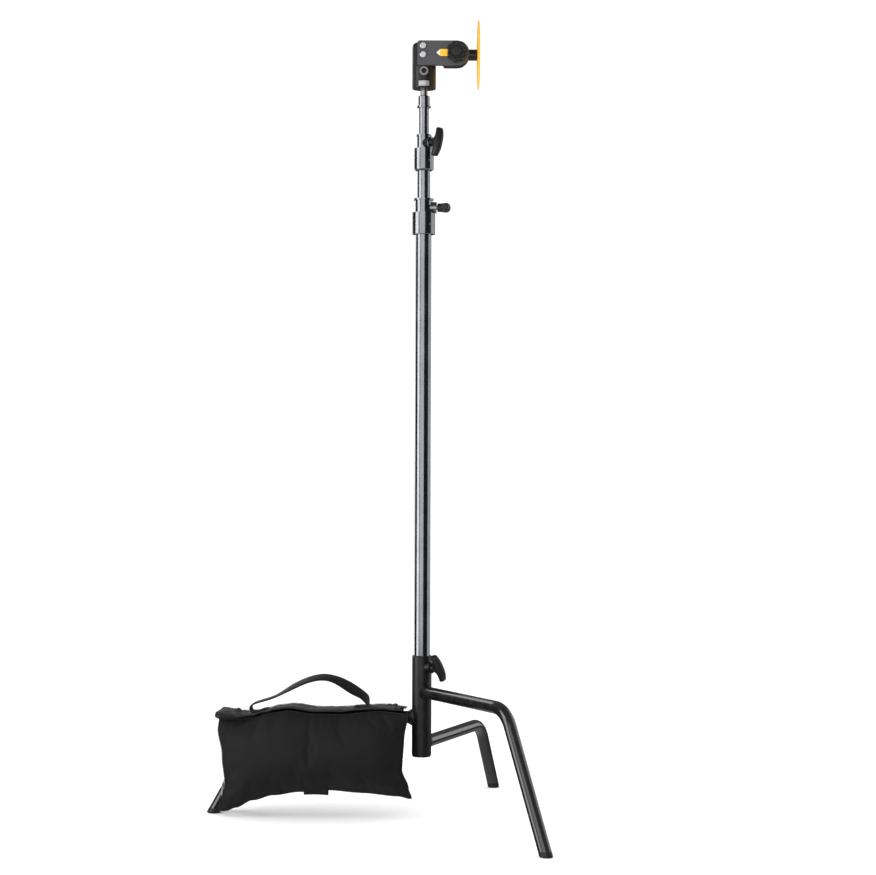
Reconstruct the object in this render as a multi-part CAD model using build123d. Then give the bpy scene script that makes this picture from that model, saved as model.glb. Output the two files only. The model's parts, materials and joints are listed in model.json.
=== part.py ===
from build123d import *
from math import cos, radians, sin, tan
import os

# A studio C-stand: three bent legs on a stacked turning hub, a column that lifts out of the
# hub, two telescoping risers, a small tilting head with a round plate, and a saddle sandbag
# that hangs over one leg. Millimetres. The column's axis is Z and the floor is Z = 0.
# Every leg, screw and pouch is made along +X and then turned about Z to its own bearing.

os.makedirs("parts", exist_ok=True)

# Fits
RUN = 0.05  # radial running clearance of a shaft, a riser or a screw
PLAY = 0.1  # axial play beside each thrust washer
SOFT = 1.0  # gap between cloth and what it hangs on
NEST_GAP = 1.7  # all round, between a tube and the one that slides in it
PAST = 1.0  # how far a cut runs past the face that it opens

# Tubes
COLUMN_OD = 35.0
COLUMN_WALL = 1.5
RISER_1_WALL = 1.5
RISER_2_WALL = 2.0
LEG_OD = 27.0
LEG_WALL = 2.0

# Hub: an inner tube with the top sleeve fixed on it and two sleeves that turn on it
HUB_TUBE_WALL = 2.65
SLEEVE_WALL = 4.5
HUB_BOTTOM = 134.0
LOW_SLEEVE_SPARE = 8.0  # height of a sleeve beyond its leg's neck
MID_SLEEVE_SPARE = 2.0
TOP_SLEEVE_H = 110.3
HUB_LIP = 5.0
HUB_LIP_PLAY = 0.4
HUB_CHAMFER = 1.2
HUB_RING_IN = 1.0  # how far the bottom ring stands inside the sleeves' outside
HUB_RING_H = 4.0
THRUST_IN = 0.5
THRUST_T = 1.0
SMALL_CHAMFER = 0.8

# Legs: bearing of each about Z from +X, the same bend, and a foot cut level
HIGH_BEARING = -59.4
LOW_BEARING = 66.9
MID_BEARING = 174.1
LEG_BEND_AT = 342.0
LEG_BEND_R = 65.0
LEG_SPLAY = 29.1
LEG_PAST_FLOOR = 40.0
NECK_FLARE = 10.0  # how far the neck's root stands above and below its leg
NECK_SIDE = 1.5
NECK_SUNK = 5.0  # how far the root starts inside the sleeve's bore
NECK_MID_OUT = 1.5
NECK_MID_FLARE = 4.0
NECK_MID_SIDE = 0.8
NECK_REACH = 9.5  # from the sleeve's outside to the leg's tube
NECK_SPIGOT = 22.0
NECK_SPIGOT_ROOT = 2.0
HIGH_LEG_SPARE = 7.5  # height of the top sleeve under its leg's neck
FOOT_H = 12.0
FOOT_ROUND = 3.0
FOOT_PLUG = 18.0

# Clamp screws: the T-handle, its threaded stem and the brass plug under it
STEM_D = 9.8
PLUG_L = 5.0
BOSS_D = 25.0
BOSS_SINK = 1.5  # how far a collar's boss runs down into the body under it
BOSS_CHAMFER = 1.0
HANDLE_GAP = 1.0
HANDLE_NECK_D = 17.0
HANDLE_NECK_L = 13.0
HANDLE_BAR_L = 60.0
HANDLE_BAR_D = 20.0
HANDLE_TIP_D = 13.0
HANDLE_BOW = 0.3  # slope of the bar's side where it meets the rounded ends
HANDLE_DRAFT = 1.0
HANDLE_BAR_SUNK = 4.0  # how far the bar comes down over the neck
HUB_KNOB_BEARING = -42.0
HUB_KNOB_DOWN = 25.0
HUB_BOSS_OUT = 9.5
HUB_BAR_TURN = 30.0
COLUMN_KNOB_BEARING = 0.0
COLUMN_BOSS_OUT = 3.5
COLUMN_BAR_TURN = 90.0
RISER_1_KNOB_BEARING = -48.0
RISER_1_BOSS_OUT = 4.65
RISER_1_BAR_TURN = -14.0

# Column
COLUMN_L = 966.8
SPIGOT_D = 28.6
SPIGOT_L = 195.0
SPIGOT_BORE = 18.0
SPIGOT_SHANK_L = 40.0
SPIGOT_CHAMFER = 2.5
COLLAR_SOCKET = 44.0
COLLAR_1_WALL = 8.0
COLLAR_1_BODY_H = 48.3
COLLAR_1_NECK_WALL = 2.8
COLLAR_1_NECK_H = 26.7
COLLAR_1_LIP = 3.2
COLLAR_1_CHAMFER = 1.0
COLLAR_LIP_H = 4.0

# Risers
COLLAR_STEP = 60.3
COLLAR_2_WALL = 7.55
COLLAR_2_BODY_H = 49.4
COLLAR_2_NECK_WALL = 2.5
COLLAR_2_NECK_H = 26.7
COLLAR_2_LIP = 1.4
COLLAR_2_ROUND = 6.0
RISER_1_L = 991.0
RISER_2_L = 1018.0
PISTON_H = 30.0
COLLAR_SCREW_D = 5.0
COLLAR_SCREW_BEARING = 125.0
COLLAR_SCREW_SUNK = 0.5
COLLAR_SCREW_HEX_DEEP = 2.0

# Stop collar and pin on top of the second riser
STOP_STEP = 59.0
STOP_WALL = 1.7
STOP_H = 25.5
STOP_LIP = 2.7
STOP_LIP_H = 4.0
STOP_CHAMFER = 1.5
STOP_CAP = 4.0
PIN_D = 15.9
PIN_L = 73.0
PIN_SHANK_L = 42.0
CROSS_PIN_D = 4.0
CROSS_PIN_SUNK = 0.3

# Head: a round housing on the pin with a cheek plate bolted across its front
HOUSING_OD = 52.0
HOUSING_CAP = 44.0  # metal above the pin, which the cheek's screws go into
HOUSING_GAP = 15.0
HOUSING_ROUND = 11.0
HOUSING_CHAMFER = 1.0
BUSH_WALL = 2.0
CHEEK_T = 12.0
CHEEK_SUNK = 7.0  # how far the cheek is let into the housing
CHEEK_R = 27.0
CHEEK_LEFT = -14.5
CHEEK_CORNER = 5.0
CHEEK_CHAMFER = 1.2
CHEEK_SCREW_X = -2.0
CHEEK_SCREW_UP = 16.0
CHEEK_SCREW_PITCH = 19.6
CHEEK_SCREW_D = 8.0
CHEEK_SCREW_HEAD_D = 15.6
CHEEK_SCREW_HEAD_H = 3.2
CHEEK_SCREW_ROUND = 2.2
CHEEK_SCREW_DEPTH = 14.0
CHEEK_SLOT_L = 8.0
CHEEK_SLOT_W = 1.8
CHEEK_SLOT_DEEP = 1.6
PIVOT_OUT = 46.0  # from the housing's side to the pivot
LOCK_UNDER = 2.0  # gap between the cheek and the lock ring under it
LOCK_RING_OD = 19.0
LOCK_RING_PROUD = 2.0
LOCK_SCREW_D = 12.0
LOCK_SCREW_SUNK = 1.0
LOCK_HEX = 6.0
LOCK_HEX_DEEP = 5.0
PLATE_UP = 9.5
PLATE_W = 23.0
PLATE_H = 11.0
PLATE_T = 0.6
POINTER_W = 15.0
POINTER_T = 2.6
POINTER_IN = 20.0  # from the pivot to the pointer's square end
POINTER_L = 16.0
POINTER_TIP = 9.0
POINTER_PIN_D = 3.0
POINTER_PIN_IN = 3.0
POINTER_PIN_DEEP = 1.6

# Tilting part: block, stub and round plate, with the knob that clamps it
FRICTION_T = 1.0
FRICTION_IN = 3.0
BLOCK_T = 30.0
BLOCK_TAIL = 4.0  # how much longer the block's square end is than its round one
BLOCK_CORNER = 6.0
BOLT_D = 10.0
BOLT_HEAD_D = 20.0
BOLT_HEAD_H = 6.0
STUB_D = 24.5
STUB_SUNK = 7.0
STUB_OUT = 17.0
DISC_D = 149.0
DISC_T = 6.0
DISC_ROUND = 1.5
DISC_SCREW_D = 8.0
DISC_SCREW_HEAD_D = 16.0
DISC_SCREW_HEAD_H = 3.8
DISC_SCREW_SUNK = 0.4  # how far the head stays below the plate's face
DISC_SCREW_CHAMFER = 0.6
DISC_SCREW_HEX = 5.0
DISC_SCREW_HEX_DEEP = 2.5
DISC_SCREW_DEPTH = 16.0
KNOB_WASHER_OD = 24.0
KNOB_WASHER_T = 2.0
KNOB_D = 45.0
KNOB_T = 22.0
KNOB_FOOT_D = 28.0
KNOB_FOOT_T = 3.0
KNOB_LOBES = 7
KNOB_FLUTE_R = 7.0
KNOB_FLUTE_OUT = 0.6  # share of a flute's radius that its centre stands outside the knob
KNOB_ROUND = 2.0
KNOB_CAP_D = 27.0
KNOB_CAP_T = 3.0
KNOB_CAP_ROUND = 1.5
INSERT_OD = 16.0
INSERT_L = 18.0
BOLT_IN_INSERT = 1.0  # how far the bolt's end stays inside the insert

# Sandbag: two pouches, one each side of its leg, under a saddle of cloth
BAG_HUB_GAP = 12.5
BAG_L = 406.0
BAG_LOW_OVER = 8.0  # how much nearer the column the pouches reach at the bottom
BAG_POUCH_T = 66.0
BAG_FLOOR_GAP = 16.2
BAG_ARCH = 10.0
BAG_OUT_DROP = 34.0
BAG_ROUND = 20.0
SADDLE_T = 7.0
SADDLE_W = 128.0
SADDLE_OVER = 15.0
SADDLE_ROUND = 3.0
GRIP_FROM = 82.0  # from the bag's end near the column to the strap
GRIP_SPAN = 256.0
GRIP_CROWN = 62.0  # highest point of the strap's centre line over the saddle
GRIP_BEND = 9.0
GRIP_W = 26.0
GRIP_T = 12.0
TAB_FROM = 190.0
TAB_W = 56.0
TAB_T = 3.0
TAB_DROP = 12.0

# Heights and diameters that follow from the values above
column_id = COLUMN_OD - 2 * COLUMN_WALL
riser_1_od = column_id - 2 * NEST_GAP
riser_1_id = riser_1_od - 2 * RISER_1_WALL
riser_2_od = riser_1_id - 2 * NEST_GAP
riser_2_id = riser_2_od - 2 * RISER_2_WALL
leg_id = LEG_OD - 2 * LEG_WALL
spigot_bore = SPIGOT_D + 2 * RUN
stem_bore = STEM_D + 2 * RUN
hub_tube_od = spigot_bore + 2 * HUB_TUBE_WALL
hub_od = hub_tube_od + 2 * SLEEVE_WALL
neck_h = LEG_OD + 2 * NECK_FLARE
neck_end = hub_od / 2 + NECK_REACH
low_bottom = HUB_BOTTOM + HUB_RING_H + THRUST_T + PLAY
low_top = low_bottom + neck_h + LOW_SLEEVE_SPARE - PLAY
mid_bottom = low_top + THRUST_T + 2 * PLAY
mid_top = mid_bottom + neck_h + MID_SLEEVE_SPARE
top_bottom = mid_top + THRUST_T + PLAY
hub_top = top_bottom + TOP_SLEEVE_H
low_z = low_bottom + neck_h / 2
mid_z = (mid_bottom + mid_top) / 2
high_z = top_bottom + neck_h / 2 + HIGH_LEG_SPARE
hub_knob_z = hub_top - HUB_KNOB_DOWN
hub_boss_r = hub_od / 2 + HUB_BOSS_OUT
collar_1_od = COLUMN_OD + 2 * COLLAR_1_WALL
collar_2_od = riser_1_od + 2 * COLLAR_2_WALL
column_boss_r = collar_1_od / 2 + COLUMN_BOSS_OUT
riser_1_boss_r = collar_2_od / 2 + RISER_1_BOSS_OUT
stop_od = riser_2_od + 2 * STOP_WALL
column_top = hub_top + COLUMN_L
collar_1_bottom = column_top - COLLAR_SOCKET
collar_1_top = collar_1_bottom + COLLAR_1_BODY_H + COLLAR_1_NECK_H + COLLAR_LIP_H
collar_2_bottom = collar_1_top + COLLAR_STEP
riser_1_top = collar_2_bottom + COLLAR_SOCKET
riser_1_bottom = riser_1_top - RISER_1_L
collar_2_top = collar_2_bottom + COLLAR_2_BODY_H + COLLAR_2_NECK_H + COLLAR_LIP_H
stop_bottom = collar_2_top + STOP_STEP
stop_top = stop_bottom + STOP_H
riser_2_top = stop_top - STOP_CAP
riser_2_bottom = riser_2_top - RISER_2_L
pin_top = stop_top + PIN_L
housing_bottom = stop_top + HOUSING_GAP
housing_top = pin_top + HOUSING_CAP
bush_od = PIN_D + 2 * RUN + 2 * BUSH_WALL
pivot_x = HOUSING_OD / 2 + PIVOT_OUT
pivot_z = housing_top - CHEEK_R
cheek_low = pivot_z - CHEEK_R
cheek_back = CHEEK_SUNK - HOUSING_OD / 2
cheek_front = cheek_back - CHEEK_T
lock_z = cheek_low - LOCK_UNDER - LOCK_RING_OD / 2
block_front = cheek_back + FRICTION_T
block_back = block_front + BLOCK_T
block_y = (block_front + block_back) / 2


def save(name, shape):
    """Write one sub-part to its own STEP file."""
    shape.label = name
    export_step(shape, f"parts/{name}.step")


def rod(diameter, z0, z1):
    """A solid cylinder on the Z axis."""
    return Pos(0, 0, z0) * Cylinder(diameter / 2, z1 - z0, align=(Align.CENTER, Align.CENTER, Align.MIN))


def ring(outer, inner, z0, z1):
    """A plain tube on the Z axis."""
    return rod(outer, z0, z1) - rod(inner, z0 - PAST, z1 + PAST)


def along_x(diameter, x0, x1, z=0.0, y=0.0):
    """A solid cylinder that runs along X."""
    bar = Cylinder(diameter / 2, x1 - x0, align=(Align.CENTER, Align.CENTER, Align.MIN))
    return Pos(x0, y, z) * Rot(0, 90, 0) * bar


def along_y(diameter, y0, y1, x=0.0, z=0.0):
    """A solid cylinder that runs along Y."""
    bar = Cylinder(diameter / 2, y1 - y0, align=(Align.CENTER, Align.CENTER, Align.MIN))
    return Pos(x, y0, z) * Rot(-90, 0, 0) * bar


def block(x0, x1, y0, y1, z0, z1):
    """A box given by its faces."""
    size = (x1 - x0, y1 - y0, z1 - z0)
    return Pos((x0 + x1) / 2, (y0 + y1) / 2, (z0 + z1) / 2) * Box(*size)


def turned(shape, bearing):
    """The shape turned about Z to its bearing."""
    return Rot(0, 0, bearing) * shape


def edges_at(shape, axis, place, slack=0.01):
    """The edges whose centres lie at one place along an axis."""
    return shape.edges().filter_by_position(axis, place - slack, place + slack)


# ---------------------------------------------------------------- hub and legs


def leg_neck(z):
    """The cast neck that runs out of a sleeve into a leg, with the spigot that the tube fits."""
    leg_r = LEG_OD / 2
    stations = [
        (hub_tube_od / 2 - NECK_SUNK, leg_r + NECK_SIDE, neck_h / 2),
        (hub_od / 2 + NECK_MID_OUT, leg_r + NECK_MID_SIDE, leg_r + NECK_MID_FLARE),
    ]
    sections = [
        Plane(origin=(x, 0, z), x_dir=(0, 1, 0), z_dir=(1, 0, 0)) * Ellipse(half_w, half_h)
        for x, half_w, half_h in stations
    ]
    end = Plane(origin=(neck_end, 0, z), x_dir=(0, 1, 0), z_dir=(1, 0, 0))
    flare = loft([*sections, end * Circle(leg_r)])
    return flare + along_x(leg_id, neck_end - NECK_SPIGOT_ROOT, neck_end + NECK_SPIGOT, z)


def sleeve(z0, z1, leg_z, bearing, bore):
    """One hub sleeve with its leg's neck."""
    body = rod(hub_od, z0, z1) + turned(leg_neck(leg_z), bearing)
    return body - rod(bore, z0 - PAST, z1 + PAST)


def leg_sweep(z, diameter, past):
    """A solid bar of one diameter along a leg's centre line, run on past the floor."""
    fall = z + past
    path = FilletPolyline(
        (neck_end, 0, z),
        (LEG_BEND_AT, 0, z),
        (LEG_BEND_AT + fall * tan(radians(LEG_SPLAY)), 0, z - fall),
        radius=LEG_BEND_R,
    )
    start = Plane(origin=path @ 0, z_dir=path % 0)
    return sweep(start * Circle(diameter / 2), path=path)


def leg_tube(z):
    """A bent leg tube, cut level above its foot."""
    tube = leg_sweep(z, LEG_OD, LEG_PAST_FLOOR) - leg_sweep(z, leg_id, LEG_PAST_FLOOR)
    reach = foot_x(z + LEG_PAST_FLOOR) + LEG_OD
    return tube - block(0, reach, -LEG_OD, LEG_OD, -2 * LEG_PAST_FLOOR, FOOT_H)


def foot_x(z):
    """How far from the column a leg's centre line meets the floor."""
    return LEG_BEND_AT + z * tan(radians(LEG_SPLAY))


def leg_foot(z):
    """A moulded foot: a level-cut cap of the tube's own diameter and a plug inside it."""
    up = 2 * (FOOT_H + FOOT_PLUG)
    lean = Pos(foot_x(z), 0, 0) * Rot(0, -LEG_SPLAY, 0)
    cap = lean * Cylinder(LEG_OD / 2, 2 * up)
    cap -= block(foot_x(z) - up, foot_x(z) + up, -LEG_OD, LEG_OD, FOOT_H, 3 * up)
    cap -= block(foot_x(z) - up, foot_x(z) + up, -LEG_OD, LEG_OD, -3 * up, 0)
    cap = fillet(edges_at(cap, Axis.Z, 0), FOOT_ROUND)
    plug = lean * Cylinder(leg_id / 2, 2 * up)
    plug -= block(foot_x(z) - 2 * up, foot_x(z) + up, -LEG_OD, LEG_OD, FOOT_H + FOOT_PLUG, 3 * up)
    plug -= block(foot_x(z) - up, foot_x(z) + up, -LEG_OD, LEG_OD, -3 * up, FOOT_H / 2)
    return cap + plug


def save_leg(name, z, bearing):
    """Write a leg's tube and foot."""
    save(f"{name}_leg_tube", turned(leg_tube(z), bearing))
    save(f"{name}_leg_foot", turned(leg_foot(z), bearing))


# ---------------------------------------------------------------- clamp screws


def boss(face_r, z, bearing):
    """The round boss that a clamp screw goes through, run in to the column's axis."""
    pad = along_x(BOSS_D, 0, face_r, z)
    pad = chamfer(edges_at(pad, Axis.X, face_r), BOSS_CHAMFER)
    return turned(pad, bearing)


def stem_hole(z, bearing):
    """The hole for a stem and its plug."""
    return turned(along_x(stem_bore, 0, hub_od, z), bearing)


def clamp_plug(shaft_od, z, bearing):
    """The brass plug that bears on a shaft."""
    r = shaft_od / 2 + RUN
    return turned(along_x(STEM_D, r, r + PLUG_L, z), bearing)


def t_screw(shaft_od, face_r, z, bearing):
    """The threaded stem, from the plug out into the handle."""
    r = shaft_od / 2 + RUN + PLUG_L
    end = face_r + HANDLE_GAP + HANDLE_NECK_L
    return turned(along_x(STEM_D, r, end, z), bearing)


def t_handle(face_r, z, bearing, turn):
    """A cast T-handle: a tapered neck under a bar that thins towards its rounded ends."""
    base = face_r + HANDLE_GAP
    bar_x = base + HANDLE_NECK_L + HANDLE_BAR_D / 2 - HANDLE_BAR_SUNK
    half = HANDLE_BAR_L / 2
    tip = HANDLE_TIP_D / 2
    edge = Polyline((0, half), (0, -half))
    side = Spline(
        (tip, -half + tip),
        (HANDLE_BAR_D / 2, 0),
        (tip, half - tip),
        tangents=[(HANDLE_BOW, 1), (-HANDLE_BOW, 1)],
    )
    top = RadiusArc((tip, half - tip), (0, half), -tip)
    bottom = RadiusArc((0, -half), (tip, -half + tip), -tip)
    outline = make_face([edge, bottom, side, top])
    bar = revolve(Plane.XZ * outline, axis=Axis.Z)
    neck = Cone(
        HANDLE_NECK_D / 2 - HANDLE_DRAFT,
        HANDLE_NECK_D / 2,
        bar_x - base,
        align=(Align.CENTER, Align.CENTER, Align.MIN),
    )
    handle = Pos(bar_x, 0, 0) * bar + Pos(base, 0, 0) * Rot(0, 90, 0) * neck
    handle -= along_x(STEM_D, base - PAST, base + HANDLE_NECK_L)
    return turned(Pos(0, 0, z) * Rot(turn, 0, 0) * handle, bearing)


def save_clamp(name, shaft_od, face_r, z, bearing, turn):
    """Write a plug, its stem and its handle."""
    save(f"{name}_clamp_plug", clamp_plug(shaft_od, z, bearing))
    save(f"{name}_t_screw", t_screw(shaft_od, face_r, z, bearing))
    save(f"{name}_t_handle", t_handle(face_r, z, bearing, turn))


# ---------------------------------------------------------------- collars and risers


def collar(z0, tube_od, bush_od, wall, body_h, neck_wall, neck_h, lip):
    """A riser collar: a body round the lower tube, a neck round the bush, and a lip."""
    neck_od = bush_od + 2 * neck_wall
    neck_z = z0 + body_h
    lip_z = neck_z + neck_h
    shape = rod(tube_od + 2 * wall, z0, neck_z) + rod(neck_od, neck_z, lip_z)
    shape += rod(neck_od + 2 * lip, lip_z, lip_z + COLLAR_LIP_H)
    shape -= rod(tube_od, z0 - PAST, z0 + COLLAR_SOCKET)
    return shape - rod(bush_od, z0, lip_z + COLLAR_LIP_H + PAST)


def collar_screws(z, tube_od, body_od):
    """Two short set screws, opposite each other, that hold a collar on its tube."""
    outside = body_od / 2
    screw = along_x(COLLAR_SCREW_D, tube_od / 2, outside - COLLAR_SCREW_SUNK, z)
    socket_in = outside - COLLAR_SCREW_SUNK - COLLAR_SCREW_HEX_DEEP
    socket = along_x(COLLAR_SCREW_D / 2, socket_in, outside, z)
    bearings = (COLLAR_SCREW_BEARING, COLLAR_SCREW_BEARING + 180)
    return Compound(children=[turned(screw - socket, bearing) for bearing in bearings])


def screw_holes(z, body_od):
    """The holes for a collar's two set screws."""
    return turned(along_x(COLLAR_SCREW_D, -body_od, body_od, z), COLLAR_SCREW_BEARING)


def piston(z, outer_bore, tube_od):
    """The nylon ring at a riser's foot that guides it in the tube outside it."""
    shape = ring(outer_bore - 2 * RUN, tube_od, z, z + PISTON_H)
    outer_edges = shape.edges().filter_by(GeomType.CIRCLE).sort_by(SortBy.RADIUS)[-2:]
    return chamfer(outer_edges, SMALL_CHAMFER)


# Hub
hub_hole = stem_hole(hub_knob_z, HUB_KNOB_BEARING)
hub_tube = ring(hub_tube_od, spigot_bore, HUB_BOTTOM, hub_top - HUB_LIP) - hub_hole
save("hub_tube", hub_tube)

top_sleeve = rod(hub_od, top_bottom, hub_top)
top_sleeve = chamfer(edges_at(top_sleeve, Axis.Z, hub_top), HUB_CHAMFER)
top_sleeve += turned(leg_neck(high_z), HIGH_BEARING)
top_sleeve += boss(hub_boss_r, hub_knob_z, HUB_KNOB_BEARING)
top_sleeve -= rod(hub_tube_od, top_bottom - PAST, hub_top - HUB_LIP)
top_sleeve -= rod(spigot_bore + HUB_LIP_PLAY, hub_top - HUB_LIP - PAST, hub_top + PAST)
save("hub_top_sleeve", top_sleeve - hub_hole)

turning_bore = hub_tube_od + 2 * RUN
save("mid_leg_sleeve", sleeve(mid_bottom, mid_top, mid_z, MID_BEARING, turning_bore))
low_sleeve = sleeve(low_bottom, low_top, low_z, LOW_BEARING, turning_bore)
save("low_leg_sleeve", low_sleeve)

hub_ring_od = hub_od - 2 * HUB_RING_IN
hub_ring = ring(hub_ring_od, hub_tube_od, HUB_BOTTOM, HUB_BOTTOM + HUB_RING_H)
save("hub_bottom_ring", chamfer(edges_at(hub_ring, Axis.Z, HUB_BOTTOM), SMALL_CHAMFER))
thrust_od = hub_od - 2 * THRUST_IN
washer_feet = [HUB_BOTTOM + HUB_RING_H, low_top + PLAY, mid_top + PLAY]
washers = [ring(thrust_od, hub_tube_od, z, z + THRUST_T) for z in washer_feet]
save("thrust_washers", Compound(children=washers))

save_leg("high", high_z, HIGH_BEARING)
save_leg("mid", mid_z, MID_BEARING)
save_leg("low", low_z, LOW_BEARING)
save_clamp("hub", SPIGOT_D, hub_boss_r, hub_knob_z, HUB_KNOB_BEARING, HUB_BAR_TURN)

# Column
save("column_tube", ring(COLUMN_OD, column_id, hub_top, column_top))
spigot = rod(SPIGOT_D, hub_top - SPIGOT_L, hub_top)
spigot = chamfer(edges_at(spigot, Axis.Z, hub_top - SPIGOT_L), SPIGOT_CHAMFER)
spigot += rod(column_id, hub_top, hub_top + SPIGOT_SHANK_L)
spigot -= rod(SPIGOT_BORE, hub_top - SPIGOT_L - PAST, hub_top + SPIGOT_SHANK_L + PAST)
save("column_spigot", spigot)

column_knob_z = collar_1_bottom + COLLAR_1_BODY_H + BOSS_D / 2 - BOSS_SINK
collar_1 = collar(
    collar_1_bottom,
    COLUMN_OD,
    column_id,
    COLLAR_1_WALL,
    COLLAR_1_BODY_H,
    COLLAR_1_NECK_WALL,
    COLLAR_1_NECK_H,
    COLLAR_1_LIP,
)
collar_1_round = edges_at(collar_1, Axis.Z, collar_1_bottom).sort_by(SortBy.RADIUS)[-1:]
collar_1 = chamfer(collar_1_round, COLLAR_1_CHAMFER)
collar_1 += boss(column_boss_r, column_knob_z, COLUMN_KNOB_BEARING)
collar_1 -= rod(column_id, collar_1_bottom, collar_1_top + PAST)
collar_1 -= stem_hole(column_knob_z, COLUMN_KNOB_BEARING)
collar_1_screw_z = collar_1_bottom + COLLAR_SOCKET / 2
collar_1 -= screw_holes(collar_1_screw_z, collar_1_od)
save("column_collar", collar_1)
save("column_collar_screws", collar_screws(collar_1_screw_z, COLUMN_OD, collar_1_od))
bush_1 = ring(column_id, riser_1_od + 2 * RUN, column_top, collar_1_top)
save("column_bush", bush_1 - stem_hole(column_knob_z, COLUMN_KNOB_BEARING))
save_clamp(
    "column", riser_1_od, column_boss_r, column_knob_z, COLUMN_KNOB_BEARING, COLUMN_BAR_TURN
)

# First riser
save("riser_1_tube", ring(riser_1_od, riser_1_id, riser_1_bottom, riser_1_top))
save("riser_1_piston", piston(riser_1_bottom, column_id, riser_1_od))
riser_1_knob_z = collar_2_bottom + COLLAR_2_BODY_H + BOSS_D / 2 - BOSS_SINK
collar_2 = collar(
    collar_2_bottom,
    riser_1_od,
    riser_1_id,
    COLLAR_2_WALL,
    COLLAR_2_BODY_H,
    COLLAR_2_NECK_WALL,
    COLLAR_2_NECK_H,
    COLLAR_2_LIP,
)
collar_2_round = edges_at(collar_2, Axis.Z, collar_2_bottom).sort_by(SortBy.RADIUS)[-1:]
collar_2 = fillet(collar_2_round, COLLAR_2_ROUND)
collar_2 += boss(riser_1_boss_r, riser_1_knob_z, RISER_1_KNOB_BEARING)
collar_2 -= rod(riser_1_id, collar_2_bottom, collar_2_top + PAST)
collar_2 -= stem_hole(riser_1_knob_z, RISER_1_KNOB_BEARING)
collar_2_screw_z = collar_2_bottom + COLLAR_SOCKET / 2
collar_2 -= screw_holes(collar_2_screw_z, collar_2_od)
save("riser_1_collar", collar_2)
save("riser_1_collar_screws", collar_screws(collar_2_screw_z, riser_1_od, collar_2_od))
bush_2 = ring(riser_1_id, riser_2_od + 2 * RUN, riser_1_top, collar_2_top)
save("riser_1_bush", bush_2 - stem_hole(riser_1_knob_z, RISER_1_KNOB_BEARING))
save_clamp(
    "riser_1",
    riser_2_od,
    riser_1_boss_r,
    riser_1_knob_z,
    RISER_1_KNOB_BEARING,
    RISER_1_BAR_TURN,
)

# Second riser, with its stop collar and pin
cross_z = stop_bottom + STOP_H / 2
cross_hole = along_y(CROSS_PIN_D, -stop_od, stop_od, 0, cross_z)
riser_2 = ring(riser_2_od, riser_2_id, riser_2_bottom, riser_2_top)
save("riser_2_tube", riser_2 - cross_hole)
save("riser_2_piston", piston(riser_2_bottom, riser_1_id, riser_2_od))
stop = rod(stop_od, stop_bottom, stop_top)
stop = chamfer(edges_at(stop, Axis.Z, stop_top), STOP_CHAMFER)
stop += rod(stop_od + 2 * STOP_LIP, stop_bottom, stop_bottom + STOP_LIP_H)
stop -= rod(riser_2_od, stop_bottom - PAST, riser_2_top)
stop -= rod(riser_2_id, riser_2_top - PAST, stop_top + PAST)
save("riser_2_stop_collar", stop - cross_hole)
pin = rod(riser_2_id, stop_top - PIN_SHANK_L, stop_top) + rod(PIN_D, stop_top, pin_top)
pin = chamfer(edges_at(pin, Axis.Z, pin_top), STOP_CHAMFER)
save("riser_2_pin", pin - cross_hole)
cross_half = stop_od / 2 - CROSS_PIN_SUNK
save("riser_2_cross_pin", along_y(CROSS_PIN_D, -cross_half, cross_half, 0, cross_z))

# Head
screw_top_z = pivot_z + CHEEK_SCREW_UP
screw_zs = [screw_top_z, screw_top_z - CHEEK_SCREW_PITCH]
shank_end = cheek_back + CHEEK_SCREW_DEPTH
screw_shanks = [
    along_y(CHEEK_SCREW_D, cheek_front, shank_end, CHEEK_SCREW_X, z) for z in screw_zs
]
lock_seat = -PIN_D / 2 - PLUG_L
lock_front = -HOUSING_OD / 2 - LOCK_RING_PROUD

housing = rod(HOUSING_OD, housing_bottom, housing_top)
housing = fillet(edges_at(housing, Axis.Z, housing_top), HOUSING_ROUND)
housing = chamfer(edges_at(housing, Axis.Z, housing_bottom), HOUSING_CHAMFER)
flat_top = housing_top + PAST
housing -= block(-HOUSING_OD, HOUSING_OD, -HOUSING_OD, cheek_back, cheek_low, flat_top)
housing -= rod(bush_od, housing_bottom - PAST, pin_top)
housing -= along_y(LOCK_RING_OD, -HOUSING_OD, lock_seat, 0, lock_z)
housing -= along_y(stem_bore, lock_seat - PAST, 0, 0, lock_z)
for shank in screw_shanks:
    housing -= shank
save("head_housing", housing)

bush = ring(bush_od, PIN_D + 2 * RUN, housing_bottom, pin_top)
bush -= along_y(LOCK_RING_OD, -HOUSING_OD, lock_seat, 0, lock_z)
save("head_bush", bush - along_y(stem_bore, -bush_od, 0, 0, lock_z))

lock_ring = along_y(LOCK_RING_OD, lock_front, lock_seat, 0, lock_z)
lock_ring = chamfer(edges_at(lock_ring, Axis.Y, lock_front), SMALL_CHAMFER)
lock_ring -= along_y(LOCK_SCREW_D, lock_front - PAST, lock_seat + PAST, 0, lock_z)
save("head_lock_ring", lock_ring)
lock_plug_in = -PIN_D / 2 - RUN
save("head_clamp_plug", along_y(STEM_D, lock_seat, lock_plug_in, 0, lock_z))
screw_front = lock_front + LOCK_SCREW_SUNK
lock_screw = along_y(LOCK_SCREW_D - 2 * RUN, screw_front, lock_seat, 0, lock_z)
hexagon = Plane(origin=(0, screw_front, lock_z), z_dir=(0, 1, 0)) * RegularPolygon(
    LOCK_HEX / 2, 6, major_radius=False
)
save("head_lock_screw", lock_screw - extrude(hexagon, LOCK_HEX_DEEP))

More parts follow.
